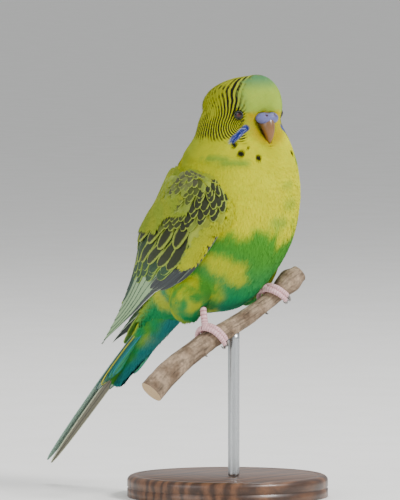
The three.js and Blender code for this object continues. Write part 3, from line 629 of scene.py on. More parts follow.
def paint(p, u, v):
    """Plumage colour and the bars' phase and strength, at points p whose places on the body are u and v."""
    broad = noise(p, 6.0, 1)
    small = noise(p, 2.0, 2)
    side = np.abs(v)
    front = smooth(115, 80, side)
    colour = mix(YELLOW, LEMON, smooth(-10, 35, v) * smooth(90, 70, side) * 0.8)
    colour = mix(colour, FLANK, smooth(40, 85, side) * 0.7)
    colour = mix(colour, MANTLE, smooth(88, 125, side))
    line = 96 - 3 * smooth(-20, -50, v) - 6 * smooth(-50, -75, v) + 5 * broad + 2.4 * small
    green = smooth(3.5, -3.5, u - line)
    depth = smooth(92, 66, u + 2 * broad)
    wet = mix(mix(LEAF, SEA, depth), TEAL, smooth(74, 50, u + 3 * small) * smooth(40, 54, u) * 0.7)
    colour = mix(colour, wet, green * (0.35 + 0.65 * front))
    colour = mix(colour, YELLOW * 0.95, blotch(p, YELLOW_PATCHES, 0.35 * broad + 0.3 * small) * 0.85)
    colour = mix(colour, mix(LEAF, SEA, 0.5), blotch(p, GREEN_BLOTCHES, 0.3 * small))
    far = np.minimum(*(off_line(p, *np.array(line[1:3], float)) for _, line, _ in THIGHS))
    share = smooth(-0.45, 0.4, noise(p, 5.0, 11) + 0.4 * noise(p, 2.0, 12))
    thigh = mix(mix(LEAF, SEA, smooth(9, -4, p[..., 2])), YELLOW * 0.9, share * 0.65)
    colour = mix(colour, thigh, smooth(14, 9, far + broad))
    # Head
    face = p - on_face(0.0, 0.0, 0.0)
    ahead = face @ HEAD_FRONT
    height = p[..., 2]
    eye = np.minimum(*(np.linalg.norm(p - EYE_AT[s], axis=-1) for s in (-1, 1)))
    fray = ahead - 10.8 + (height - 81.5) * 0.26 + 1.7 * noise(p, 1.0, 7)
    cap = smooth(-2.0, 2.2, fray + 0.5 * small) * smooth(80.0, 82.4, height + 0.7 * small)
    near_bill = np.linalg.norm(p - BILL_ROOT, axis=-1)
    colour = mix(colour, FACE_YELLOW, smooth(13, 8, near_bill))
    barred = smooth(116, 122, u) * smooth(3.0, -0.8, fray)
    low_edge = 67.8 + 1.0 * smooth(4, -12, ahead) + 1.8 * small
    barred = barred * smooth(low_edge, low_edge + 3.5, height) * smooth(-22.5, -14, ahead + 1.5 * broad)
    bars = np.maximum(barred * smooth(1.7, 2.1, eye), 0)
    colour = mix(colour, BARRED, np.clip(bars, 0, 1) * 0.8)
    rim = np.maximum(smooth(88.5, 96, height), smooth(7.5, 13.5, np.abs(face @ HEAD_SIDE)))
    colour = mix(colour, mix(FOREHEAD, FOREHEAD_EDGE, rim), cap)
    # Bars keep an even distance from a line that runs from the cheek up to the forehead
    reach = np.minimum(*(off_line(p, CHEEK_AT[s], CAP_TOP) for s in (-1, 1)))
    phase = 2.58 * np.maximum(reach, 0.1) ** 0.655 * (1 - 0.34 * smooth(78, 92, height)) + 0.14 * small
    # Behind the crown the bars break up and more yellow shows
    broken = smooth(10, 16, reach) * smooth(76, 80, height)
    bars = bars * (1 - 0.85 * broken * smooth(-0.5, 0.1, noise(p, 1.6, 3)))
    bars = bars * (1 + 0.4 * smooth(-7, -2, fray)) * np.maximum(smooth(37, 44, side), smooth(80, 82, height))
    bars = bars * (1 - 0.5 * cap) * (0.85 + 0.15 * smooth(-0.6, 0.2, noise(p, 1.1, 4)))
    # Cheek patch and throat spots
    patch = np.zeros(p.shape[:-1])
    for s in (-1, 1):
        far = off_line(p, surface(125.6, 60.0 * s), surface(130.6, 38.0 * s))
        patch = np.maximum(patch, smooth(1.75, 1.15, far + 0.35 * small))
    violet = mix(VIOLET, PALE_VIOLET, smooth(0.1, 0.45, noise(p, 0.5, 5)))
    colour = mix(colour, violet, patch)
    bars = bars * (1 - patch)
    for cu, cv, size in THROAT_SPOTS:
        far = np.linalg.norm(p - surface(float(cu), float(cv)), axis=-1)
        colour = mix(colour, INK, smooth(size * 1.2, size * 0.75, far + 0.25 * small))
    colour = colour * (1 + 0.06 * small + 0.05 * broad)[..., None]
    return colour, np.stack([phase, bars, 0 * bars], -1)


EYE_AT = {s: surface(EYE["u"], s * EYE["v"]) for s in (-1, 1)}
CHEEK_AT = {s: surface(131.4, s * 47.0) for s in (-1, 1)}
CAP_TOP = surface(149.0, 0.0)
# Distance from the eye's middle within which the skin is bare, in mm
EYE_BARE = 1.85
# Height in mm above which the head's feathers belong to the crown
CROWN_FROM = 80.8


def coat_depth(p):
    """How far the bare skin lies under the tips of the plumage: thin on the face, thicker on the body."""
    far = np.linalg.norm(p - BILL_ROOT, axis=-1)
    return np.interp(far, [5, 12, 25, 40], [0.4, 0.65, 1.1, 1.5])


def along_skin(d, n):
    """The part of direction d that lies square to the normal n."""
    return unit(d - n * np.sum(d * n, -1, keepdims=True))


def lie(p, n, along, u):
    """Where feathers point: away from the bill, then back and down over the nape, then towards the tail."""
    radial = p - BILL_ROOT
    far = np.linalg.norm(radial, axis=-1)
    nape = unit(-0.75 * HEAD_FRONT - 0.65 * UP)
    d = mix(mix(unit(radial), nape, smooth(15, 24, far)), -unit(along), smooth(128, 112, u))
    return along_skin(d, n)


def inside_bill(p):
    """True for points that the cere or the bill covers."""
    hit = np.zeros(len(p), bool)
    for forward, up, _, wide in BILL + UNDER_BILL:
        hit |= np.linalg.norm(p - on_face(forward, 0.0, up), axis=-1) < wide - 0.15
    for s in (-1, 1):
        d = p - on_face(CERE["forward"], s * CERE["left"], CERE["up"])
        d = np.stack([d @ HEAD_FRONT / 2.9, d @ HEAD_SIDE / 3.2, d[:, 2] / 2.5], -1)
        hit |= np.linalg.norm(d, axis=-1) < 1
    return hit


GOLDEN = 0.61803398875
GOLDEN_TURN = (1 - GOLDEN) * 360


def spread(count, low, high, density=None):
    """Even places on the body: u by the summed area and density, v by turns of the golden angle."""
    grid = np.linspace(low, high, 300)
    ring = np.linspace(-180, 180, 48, endpoint=False)
    _, _, along, around = slopes(grid[:, None], ring[None])
    area = np.linalg.norm(np.cross(along, around), axis=-1).sum(1) * (density(grid) if density else 1)
    total = np.concatenate([[0], np.cumsum((area[1:] + area[:-1]) / 2)])
    k = np.arange(count)
    return np.interp((k + 0.5) / count, total / total[-1], grid), k * GOLDEN_TURN % 360 - 180


# A tuft's blades: their number, the outer ones' angle in radians and offset as a share of the length
BLADES = 6
FAN_ANGLE = 0.24
FAN_WIDTH = 0.22
# A blade's five points along and across it, and its faces
BLADE_AT = np.array([0.0, 0.45, 0.45, 0.42, 1.0])
BLADE_SIDE = np.array([0.0, -1.0, 1.0, 0.0, 0.0])
BLADE_FACES = np.array([[0, 1, 3], [0, 3, 2], [1, 4, 3], [3, 4, 2], [0, 2, 1], [1, 2, 4]])


def tufts(root, n, flow, length, depth, bend, rng):
    """Tufts of slender blades that fan from a root under the surface and lie along the flow, each blade a
    closed spindle of six triangles, bent down in a circle of radius bend. Returns points (tuft, blade,
    vertex), how far along the blade each is, and normals."""
    length, depth, bend = (np.broadcast_to(x, len(root)) for x in (length, depth, bend))
    size = (len(root), BLADES)
    across = np.cross(n, flow)
    k = np.linspace(-1, 1, BLADES)[None] + rng.normal(0, 0.12, size)
    angle = FAN_ANGLE * k + rng.normal(0, 0.03, size)
    heading = flow[:, None] * np.cos(angle)[..., None] + across[:, None] * np.sin(angle)[..., None]
    offset = length[:, None] * FAN_WIDTH * k
    reach = length[:, None] * (1 - 0.16 * k * k) * rng.uniform(0.82, 1.12, size)
    width = (0.05 + 0.085 * length[:, None]) * rng.uniform(0.85, 1.15, size)
    a = BLADE_AT[None, None]
    low = -depth[:, None, None] - 0.15
    top = rng.normal(0.0, 0.05, size)[..., None] * np.minimum(depth, 1)[:, None, None]
    height = low + (top - low) * (1 - (1 - a) ** 2) ** 0.8
    ridge = np.where(BLADE_SIDE == 0, 0.05, 0.0) * np.sin(np.pi * a)
    height = height + ridge * np.minimum(length, 4)[:, None, None] / 2
    drop = (reach[..., None] * a) ** 2 / (2 * bend[:, None, None])
    sideways = np.cross(n[:, None], heading)
    p = (root[:, None, None]
         + across[:, None, None] * offset[..., None, None]
         + heading[:, :, None] * (reach[..., None] * a)[..., None]
         + sideways[:, :, None] * (width[..., None] * BLADE_SIDE)[..., None]
         + n[:, None, None] * (height - drop)[..., None])
    # Normals stay near the surface's own, so that the coat is shaded as one soft form
    facing_out = unit(n[:, None, None] + sideways[:, :, None] * (0.3 * BLADE_SIDE)[None, None, :, None]
                      + heading[:, :, None] * (0.22 * (BLADE_AT - 0.4))[None, None, :, None])
    return p, np.broadcast_to(a, p.shape[:-1]), facing_out


def coat_piece(name, u, v, rng):
    """Soft plumage on the body at places u, v: shorter towards the bill and the eyes, with none on either."""
    p, n, along, around = slopes(u, v)
    far_eye = np.minimum(*(np.linalg.norm(p - EYE_AT[s], axis=-1) for s in (-1, 1)))
    keep = (far_eye > EYE_BARE) & ~inside_bill(p)
    u, v, p, n, along, around, far_eye = (x[keep] for x in (u, v, p, n, along, around, far_eye))
    far = np.linalg.norm(p - BILL_ROOT, axis=-1)
    length = np.interp(far, [4, 8, 13, 22, 32, 48], [0.9, 1.3, 2.1, 3.1, 4.6, 6.6])
    longest = 0.35 + 0.65 * np.maximum(far_eye - EYE_BARE, 0)
    length = np.minimum(length, longest) * rng.uniform(0.88, 1.12, len(u))
    flow = lie(p, n, along, u)
    bend = np.interp(u, [30, 50, 75, 95, 118, 128, 160], [9, 16, 26, 29, 23, 17, 15])
    q, a, soft = tufts(p, n, flow, length, coat_depth(p), bend, rng)
    # Each point of a tuft takes the colour of its own place on the body
    offset = q - p[:, None, None]
    du = np.sum(offset * unit(along)[:, None, None], -1) / np.linalg.norm(along, axis=-1)[:, None, None]
    dv = np.sum(offset * unit(around)[:, None, None], -1) / np.linalg.norm(around, axis=-1)[:, None, None]
    tint, marks = paint(q, u[:, None, None] + du, v[:, None, None] + np.clip(dv, -25, 25))
    vary = rng.normal(1, 0.02, (len(u), 1, 1, 3)) * rng.normal(1, 0.03, (len(u), BLADES, 1, 1))
    build_coat(name, q, tint * blade_shade(a, 0.63) * vary, soft, u, v, marks)


def blade_shade(a, root=0.66):
    """A blade is darkest at its root, where its neighbours shade it, and a little paler at its tip."""
    return (root + 0.16 * a)[..., None]


def build_coat(name, q, tint, soft, u, v, marks=None):
    """One mesh of all tufts, each a small patch of the UV map at its root's place."""
    faces = (BLADE_FACES[None] + 5 * np.arange(len(q) * BLADES)[:, None, None]).reshape(-1, 3)
    root = np.stack([(v + 180) / 360, (u - 25) / (CROWN - 25)], -1) * 0.99 + 0.003
    local = np.stack([BLADE_AT, (BLADE_SIDE + 1) / 2], -1) * 0.003
    uv = (root[:, None, None] + local[None, None]).repeat(BLADES, 1).reshape(-1, 2)
    values = {"Tint": np.clip(tint, 0, 1), "Marks": np.zeros(q.shape) if marks is None else marks,
              "custom_normal": soft}
    make_piece(name, q, [faces], plumage(), [uv[faces]], values, ())


# Pieces


def thigh_radius(radii, t):
    return spline(np.linspace(0, 1, len(radii)), radii, t)


def build_skin(settings):
    """The body's skin under the coat, and the skin of the thighs, painted darker than the feathers over it as
    the shade under the coat.
    """
    u = np.concatenate([np.linspace(30, 120, 90), np.linspace(120.6, CROWN - 0.3, 100)])[:, None]
    v = np.linspace(-180, 180, 160, endpoint=False)[None]
    p, n, _, _ = slopes(u, v)
    p = p - n * coat_depth(p)[..., None]
    skins = [(p, *paint(p, *np.broadcast_arrays(u, v)))]
    for _, line, radii in THIGHS:
        t, turn = tube_grid(30, 28, 0.97)
        q = pipe(line, np.maximum(thigh_radius(radii, t) - 0.8, 0.4), t, turn)
        skins.append((q, thigh_colour(q), np.zeros(q.shape)))
    points, faces, maps = join([closed_tube(p) for p, _, _ in skins])
    # The skin has the plumage's colours at 0.6 of their brightness: painted shade in the gaps between the
    # tufts
    marks = {"Tint": np.clip(0.6 * np.concatenate([ends_too(tint) for _, tint, _ in skins]), 0, 1),
             "Marks": np.concatenate([ends_too(bars) for _, _, bars in skins])}
    make_piece("skin", points, faces, plumage(), maps, marks,
               ("torso", "neck", "head", "thigh_right", "thigh_left"))


def on_body(p):
    """Places u and v on the body beside the points p, from the nearest point of its middle line."""
    u = np.linspace(30, 110, 81)
    middle = np.stack([BODY.read("x", u), 0 * u, BODY.read("z", u)], -1)
    flat = p.reshape(-1, 3)
    near = np.argmin(np.linalg.norm((flat[:, None] - middle[None]) * np.array([1, 0, 1]), axis=-1), axis=1)
    d = flat - middle[near]
    front = facing(BODY.read("tilt", u[near]), 0 * near)
    v = np.degrees(np.arctan2(d[:, 1], np.sum(d * front, -1)))
    return u[near].reshape(p.shape[:-1]), v.reshape(p.shape[:-1])


def thigh_colour(p):
    return paint(p, *on_body(p))[0]


def build_coats(settings):
    """Tufts over the whole body, smallest on the face, and on the thighs."""
    rng = np.random.default_rng(11)
    full = settings.fullness
    # Body and neck, with none where the wings lie
    u, v = spread(int(11500 * full), 31.0, 121.0, lambda g: 1 + 0.5 * smooth(100, 121, g))
    u = u + rng.normal(0, 0.3, len(u))
    v = v + rng.normal(0, 0.6, len(v))
    side = np.abs(v)
    hidden = (side > 88) & (side < 150) & (u > 66) & (u < 97)
    for name, part in (("breast", side < 75), ("back", side >= 75)):
        pick = part & ~hidden
        coat_piece(name + "_feathers", u[pick], v[pick], rng)
    # Head, in two parts so that no piece has too many triangles, and the face
    for count, top, jitter in ((10500, CROWN - 0.4, 0.15), (15000, 148.0, 0.1)):
        u, v = spread(int(count * full), 119.0, top)
        u = u + rng.normal(0, jitter, len(u))
        p = surface(u, v)
        far = np.linalg.norm(p - BILL_ROOT, axis=-1)
        crown = p[:, 2] > CROWN_FROM
        parts = (("cheek", ~crown & (far > 9)), ("crown", crown & (far > 9)))
        if top < CROWN - 0.4:
            parts = (("face", far < 9.6),)
        for name, part in parts:
            coat_piece(name + "_feathers", u[part], v[part], rng)
    # Thighs
    for name, line, radii in THIGHS:
        count = int(1300 * full)
        k = np.arange(count)
        t = 0.12 + 0.84 * (k + 0.5) / count
        turn = k * GOLDEN_TURN % 360
        root = pipe(line, np.maximum(thigh_radius(radii, t), 0.7), t, turn)
        n = unit(root - path(line, t))
        length = np.interp(t, [0, 0.7, 1], [5.0, 4.2, 2.4])
        flow = along_skin(path(line, t + 0.01) - path(line, t - 0.01), n)
        q, a, _ = tufts(root, n, flow, length, 0.9, 12.0, rng)
        out = np.array([-0.1, -1.0 if name == "right" else 1.0, -0.15])
        soft = unit(0.45 * n + out * (1.0 - 0.5 * t)[:, None])[:, None, None]
        tint = thigh_colour(q) * blade_shade(a) * rng.normal(1, 0.025, (count, 1, 1, 3))
        build_coat("thigh_feathers_" + name, q, tint, np.broadcast_to(soft, q.shape), 30 + 60 * t, turn - 180)


def vane_width(along, tip, end):
    """Half width as a share: it opens from the root, and closes in a round end from the given share on."""
    opened = 0.6 + 0.4 * smooth(0, 0.4, along)
    x = np.clip((along - tip) / (1 - tip), 0, 1)
    return opened * (end + (1 - end) * np.sqrt(np.maximum(1 - x ** 2.2, 0)))


# How far back a row of coverts leans from the wing's lower edge to its middle, as a share of its length
WING_LEAN = 0.2


def wing_rows(rng):
    """The wing's feathers as columns: root, tip, place across at root and tip, half width, heights and look.
    Roots and tips of the coverts are read along slanted rows, see wing_zones."""
    rows = []

    def tier(count, root, tip, low, high, half, kind, rise=0.0, end=0.12, point=0.5):
        for t in np.linspace(low, high, count):
            t = t + rng.normal(0, 0.014)
            s = tip + rng.normal(0, 0.004) + WING_LEAN * t
            start = max(root + WING_LEAN * t, 0.0)
            rows.append((start, max(s, start + 0.03), t + 0.06, t, half * rng.uniform(0.94, 1.06), -1.9, rise,
                         kind, end, point))

    # Lesser coverts lie in rows 2.4 mm apart
    for k in range(16):
        tip = 0.02 + 0.0212 * k
        low = max(-0.98 + 0.07 * (k % 2), -(tip - 0.01) / WING_LEAN)
        count = round((0.95 - low) / 0.155) + 1
        tier(count, tip - 0.07, tip, low, 0.95, 2.4, 0, -0.1 - 0.02 * k, 0.1, 0.3)
    # A dark streak along the front edge
    rows.append((0.2, 0.44, -0.985, -1.0, 1.1, -1.2, -0.2, 4, 0.1, 0.5))
    # Median coverts are larger and rounder, greater coverts long, tertials behind them
    tier(8, 0.3, 0.424, -0.76, 0.92, 3.5, 1, -0.5, 0.1, 0.35)
    tier(11, 0.38, 0.552, -0.84, 0.9, 2.8, 2, -0.8, 0.1, 0.6)
    tier(9, 0.46, 0.6, -0.66, 0.88, 2.7, 3, -1.05, 0.1, 0.7)
    tier(9, 0.5, 0.642, -0.7, 0.86, 2.7, 3, -1.25, 0.1, 0.7)
    tier(5, 0.54, 0.68, -0.5, 0.6, 2.4, 3, -1.45, 0.1, 0.7)
    tier(4, 0.56, 0.735, -0.97, -0.72, 1.7, 4, -1.3, 0.1, 0.4)
    tips = (1.0, 0.975, 0.945, 0.91, 0.87, 0.825, 0.78, 0.735)
    for i, tip in enumerate(tips):
        low = -0.9 + 0.15 * i
        high = -0.5 + 0.14 * i
        rows.append((0.36, tip, low, high, 3.4, -2.6 + 0.1 * i, -2.5 + 0.22 * i, 5, 0.2, 0.55))
    return np.array(rows, float)


def edge_sink(s, t):
    """How much lower the wing's plumage lies at its front edges, where the breast runs over into it."""
    return ((1.5 + 2.2 * smooth(0.0, 0.7, t)) * smooth(0.1, 0.0, s)
            + 1.2 * smooth(-0.84, -1.06, t) * smooth(0.36, 0.26, s))


def wing_zones(q, t):
    """How strongly the small coverts are dark, by place along the slanted rows and across the wing."""
    front = smooth(0.145, 0.12, q) * smooth(-0.78, -0.66, t) * smooth(0.36, 0.24, t)
    smudge = smooth(0.11, 0.13, q) * smooth(0.24, 0.22, q) * smooth(-0.5, -0.42, t) * smooth(-0.1, -0.16, t)
    scallops = smooth(0.175, 0.19, q) * smooth(0.345, 0.33, q)
    scallops = scallops * smooth(-0.34, -0.4, t) * smooth(-1.04, -0.98, t)
    small = smooth(0.255, 0.27, q) * smooth(0.35, 0.335, q) * smooth(-0.56, -0.5, t) * smooth(0.0, -0.08, t)
    return front, smudge, scallops, small


def wing_colours(rows, rng):
    """Edge and centre colour, edge width and shaft strength of each wing feather by its kind and place."""
    tip, across, kind = rows[:, 1], rows[:, 3], rows[:, 7].astype(int)
    front, smudge, scallops, small = wing_zones(tip - WING_LEAN * across, across)
    ragged = front * (rng.random(len(rows)) > 0.35)
    dark = np.clip(ragged * 0.85 + smudge * 0.8 + scallops + small * 0.9, 0, 1)
    plain = mix(linear("#7f9030"), linear("#a2aa20"), smooth(-0.5, -0.95, across))
    order = np.clip((across + 0.5) / 0.98, 0, 1)
    pale = mix(linear("#8faa80"), linear("#263c34"), smooth(0.7, 0.88, order))
    # Lesser, median and greater coverts, tertials, the streak along the front edge, and flight feathers
    kinds = (
        (mix(plain, linear("#8c9c38"), dark),
         mix(mix(plain, linear("#1f2219"), dark), linear("#4b4a38"), front * 0.7), 0.42, 0.0),
        (linear("#8c9c38"), linear("#23251d"), 1.0, 0.0),
        (linear("#8c9e3a"), mix(linear("#262b20"), linear("#22402c"), smooth(-0.3, 0.2, across)), 0.72, 0.4),
        (linear("#86a03c"), linear("#21402e"), 0.4, 0.4),
        (linear("#6d7668"), linear("#3a3f42"), 0.28, 0.4),
        (mix(linear("#d5ddd0"), linear("#3c5144"), smooth(0.0, 0.12, order)),
         mix(linear("#33393a"), pale, smooth(0.0, 0.1, order)), 0.3, 0.3),
    )
    looks = [np.zeros((len(rows), 3)), np.zeros((len(rows), 3)), np.zeros(len(rows)), np.zeros(len(rows))]
    for number, look in enumerate(kinds):
        for values, value in zip(looks, look):
            own = kind == number
            values[own] = np.broadcast_to(value, values.shape)[own]
    edge, core, rim, shaft = looks
    # Median and greater coverts near the front edge are plain
    core[(kind == 1) & (across < -0.72)] = linear("#9ca838")
    core[(kind == 2) & (across < -0.8)] = linear("#94a234")
    vary = rng.normal(1, 0.06, (len(rows), 1))
    return np.clip(edge * vary, 0, 1), np.clip(core * vary, 0, 1), rim, shaft


def vane_piece(name, top, bottom, left, half, edge, core, rim, shaft, replaces, slot):
    """One mesh of flat vanes. Its marks give each point's distance from the shaft, distance left to the tip
    and half width in mm, and each vane's colours, edge width and shaft strength."""
    points, faces, maps, hard = plates(top, bottom)
    each = len(points) // len(edge)
    place = np.stack(np.broadcast_arrays(half * np.linspace(-1, 1, top.shape[2]), left, half), -1)
    marks = {"Vane": np.stack([place, place], 1), "Tint": edge.repeat(each, 0), "Core": core.repeat(each, 0),
             "Trim": np.stack([rim, shaft, 0 * rim], -1).repeat(each, 0)}
    make_piece(name, points, faces, vanes(), maps, marks, replaces, hard)


def build_wing_cover(name, side, rng, count):
    """Soft plumage that runs over the wing's edges and the plain parts of its coverts."""
    k = np.arange(count)
    q = -0.2 + 0.78 * (k + 0.5) / count + rng.normal(0, 0.004, count)
    t = -1.07 + 2.1 * (k * GOLDEN % 1)
    s = q + WING_LEAN * t
    dark = np.clip(np.sum(wing_zones(q + 0.008, t), 0) + np.sum(wing_zones(q + 0.026, t), 0), 0, 1)
    ovals = smooth(0.318, 0.33, q) * smooth(-0.8, -0.72, t)
    plain = (1 - dark) * (1 - ovals) * smooth(0.44, 0.42, q)
    low = smooth(-0.74, -0.8, t) * smooth(0.3, 0.34, q) * smooth(0.53, 0.5, q)
    edge = np.maximum(smooth(-0.95, -0.99, t), smooth(0.94, 0.98, t)) * smooth(0.45, 0.4, q)
    covered = np.maximum(np.maximum(plain, low), edge) * np.where(q > 0.36, smooth(-0.99, -0.96, t), 1.0)
    top = smooth(0.03, 0.015, s)
    keep = (np.maximum(covered, top) > rng.random(count) * 0.9 + 0.05) & (s > 0.004) & (s < 0.62)
    q, t, s = q[keep], t[keep], s[keep]
    sunk = -0.12 - edge_sink(s, t)
    p = wing_surface(side, s, t, sunk)
    n = unit(wing_surface(side, s, t, 1.0) - p)
    ahead = wing_surface(side, s + 0.02, t - 0.03 * smooth(0.42, 0.3, q), sunk) - p
    length = np.interp(s, [0, 0.1, 0.3, 0.6], [2.2, 2.6, 3.2, 3.6])
    blades, a, soft = tufts(p, n, along_skin(ahead, n), length, 0.5, 40.0, rng)
    tint = mix(linear("#94a834"), linear("#ccd010"), smooth(-0.6, -0.98, t))[:, None, None]
    tint = mix(tint, linear("#a9b030"), 0.5 * smooth(-0.3, 0.5, noise(blades, 5.0, 51)))
    tint = tint * blade_shade(a) * rng.normal(1, 0.03, (len(p), BLADES, 1, 1))
    build_coat("wing_cover_feathers_" + name, blades, tint, soft, 30 + 90 * s, 150 * t)


def build_wings(settings):
    """Both folded wings: lesser, median and greater coverts, secondaries and primaries in tiers."""
    for name, side, seed in (("right", -1, 21), ("left", 1, 22)):
        rng = np.random.default_rng(seed)
        rows = wing_rows(rng)
        looks = wing_colours(rows, rng)
        root, tip, start, stop, half, low, high, _, end, point = rows.T[:, :, None, None]
        a = np.linspace(0, 1, 15)[None, :, None] ** 0.8
        c = np.linspace(-1, 1, 7)[None, None]
        s = root + (tip - root) * a
        t = start + (stop - start) * a
        span = np.linalg.norm(wing_face(s, t + 0.05) - wing_face(s, t - 0.05), axis=-1) / 0.1
        half = half * vane_width(a, point, end)
        h = low + (high - low) * smooth(0, 0.75, a) - 0.13 * c * smooth(0, 0.6, a) - 0.24 * c * c
        h = h - edge_sink(s, t)
        at = np.clip(t + c * half / span, -1.02, 1.02)
        top = wing_surface(side, s, at, h)
        length = np.linalg.norm(np.diff(top[:, :, 3], axis=1), axis=-1)
        gone = np.concatenate([np.zeros((len(rows), 1)), np.cumsum(length, 1)], 1)
        left = (gone[:, -1:] - gone)[:, :, None]
        vane_piece("wing_feathers_" + name, top, wing_surface(side, s, at, h - 0.32), left, half, *looks,
                   ("wing_" + name,), "wing_feathers")
        # A firm under-layer closes the wing below its feathers; its dark olive is painted shade under them
        s, t = np.meshgrid(np.linspace(0.02, 0.58, 40), np.linspace(-0.9, 0.93, 24), indexing="ij")
        s = np.maximum(s + WING_LEAN * t * smooth(0, 0.3, s), 0.02 + 0.3 * (s - 0.02))
        sheets = [wing_surface(side, s, t, -depth - edge_sink(s, t))[None] for depth in (2.0, 2.9)]
        points, faces, maps, hard = plates(*sheets)
        marks = {"Tint": np.tile(linear("#3c4a2c"), (len(points), 1)), "Marks": np.zeros((len(points), 3))}
        make_piece("wing_under_layer_" + name, points, faces, plumage(), maps, marks, (),
                   hard)
        build_wing_cover(name, side, rng, int(4200 * settings.fullness))


def tail_point(along, left, up):
    """A point given along the tail from its root, to the bird's left and square to both."""
    along, left, up = np.broadcast_arrays(along, left, up)
    p = TAIL_ROOT + along[..., None] * TAIL_ALONG + up[..., None] * TAIL_UP
    p[..., 1] = left
    return p


# How far each pair of tail feathers reaches, and the edge and centre colours of the outer pairs
TAIL_PAIRS = (95, 51, 47, 44, 41, 38)
TAIL_LOOKS = (("#3c5a58", "#87a894"), ("#b3b23a", "#5c8c64"), ("#2c6a62", "#3a8f5c"), ("#277a74", "#3a9a62"),
              ("#1f7f86", "#2f9468"))
TAIL_COVERTS = ((-3.6, 22, 5.0), (3.6, 23, 5.1), (-1.8, 27, 5.5), (1.8, 26, 5.6), (0, 21, 6.4))


def build_tail(settings):
    """Tail feathers in layers below the middle pair, and long soft coverts over and under the root."""
    rng = np.random.default_rng(31)
    rows = []
    looks = []
    for side in (1, -1):
        rows.append((10, TAIL_PAIRS[0], side, side * 0.5, 3.4, 1.1 if side > 0 else 2.9, 0.027, 0.25, 0.06))
        looks.append(("#b4b89c", "#6c6857", 0.4, 1.0) if side > 0 else ("#7f9f90", "#9dbcaa", 0.35, 0.5))
        for i in range(1, len(TAIL_PAIRS)):
            rows.append((10, TAIL_PAIRS[i], side * (3.3 + 0.3 * i), side * (3.6 + 0.6 * i), 2.8,
                         1.95 - 0.95 * i, 0.027, 0.6, 0.06))
            looks.append((*TAIL_LOOKS[i - 1], 0.5, 0.8))
    for across, reach, up in TAIL_COVERTS:
        rows.append((4, reach, across * 0.8, across, 3.0, up, 0.06, 0.45, 0.1))
        looks.append(("#8fae46", "#5f9a3e", 0.9, 0.2))
    root, reach, start, stop, half, up, slope, point, end = np.array(rows, float).T[:, :, None, None]
    a = np.linspace(0, 1, 24)[None, :, None] ** 0.85
    c = np.linspace(-1, 1, 7)[None, None]
    d = root + (reach - root) * a
    half = half * vane_width(a, point, end)
    y = start + (stop - start) * a + c * half
    z = up - slope * d - 0.18 * c * c
    vary = rng.normal(1, 0.05, (len(rows), 1))
    edge, core = (np.array([linear(look[k]) for look in looks]) * vary for k in (0, 1))
    rim, shaft = (np.array([look[k] for look in looks]) for k in (2, 3))
    vane_piece("tail_feathers", tail_point(d, y, z), tail_point(d, y, z - 0.4), reach - d, half, edge, core,
               rim, shaft, ("tail",), "tail_feathers")
    # Flesh under the root of the tail, clad in soft tufts that narrow to a point below the feathers. The flesh
    # has the tufts' colours at 0.8 of their brightness as painted shade under them
    p = under_tail(*tube_grid(30, 36, 0.96), 0.8)
    tube_piece("tail_root", p, plumage(), (), "plumage", Tint=under_tail_colour(p) * 0.8,
               Marks=np.zeros(p.shape))
    count = int(3400 * settings.fullness)
    k = np.arange(count)
    t = (k + 0.5) / count
    turn = k * GOLDEN_TURN % 360
    root = under_tail(t, turn, 0.0)
    n = unit(np.cross(under_tail(t, turn + 1, 0.0) - under_tail(t, turn - 1, 0.0), TAIL_ALONG))
    n = n * np.sign(np.sum(n * (root - under_tail(t, turn, 1.0)), -1, keepdims=True))
    q, a, soft = tufts(root, n, along_skin(TAIL_ALONG, n), 5.6, 0.8, 60.0, rng)
    tint = under_tail_colour(q) * blade_shade(a)
    build_coat("tail_root_feathers", q, tint, soft, 30 + 90 * t, turn - 180)


def under_tail(t, turn, inset):
    """The soft mass round and under the tail's root, from the body to a point below the feathers."""
    d = -3 + 42.5 * t
    low = -9.0 + 0.1 * d
    high = 5.8 - 0.215 * d
    a = np.radians(turn)
    wide = (8.6 + (1.5 - 8.6) * t ** 1.3 - inset) * np.sin(a)
    return tail_point(d, wide, (high + low) / 2 + ((high - low) / 2 - inset) * np.cos(a))


def under_tail_colour(p):
    """Green with yellow flecks near the body, teal blue along the lower edge."""
    away = (p - TAIL_ROOT) @ TAIL_ALONG
    up = (p - TAIL_ROOT) @ TAIL_UP
    green = mix(SEA, LEAF, smooth(-0.5, 0.3, noise(p, 4.0, 33)) * 0.85)
    flecks = smooth(0.0, 0.5, noise(p, 4.5, 34)) * smooth(24, 6, away)
    top = smooth(-1.0, 2.5, up)
    green = mix(green, YELLOW, np.maximum(flecks * 0.6, top * 0.75))
    share = (up + 9.0 - 0.1 * away) / np.maximum(14.8 - 0.315 * away, 1.5)
    return mix(green, linear("#17808a"), smooth(0.2, 0.0, share + 0.08 * noise(p, 3.0, 35)) * 0.85)


def hook_grid(sections, rows, around):
    """Oval sections square to a hooked line in the head's middle plane."""
    sections = np.array(sections, float)
    places = np.linspace(0, 1, len(sections))
    t = np.clip(np.linspace(0, 1, rows), 0.001, 0.999)[:, None]
    forward, up, deep, wide = (spline(places, sections[:, k], t) for k in range(4))
    df = spline(places, sections[:, 0], t + 0.001) - spline(places, sections[:, 0], t - 0.001)
    dz = spline(places, sections[:, 1], t + 0.001) - spline(places, sections[:, 1], t - 0.001)
    size = np.hypot(df, dz)
    angle = np.linspace(0, 2 * np.pi, around, endpoint=False)[None]
    high = deep * np.cos(angle)
    return on_face(forward - high * dz / size, wide * np.sin(angle), up + high * df / size), t


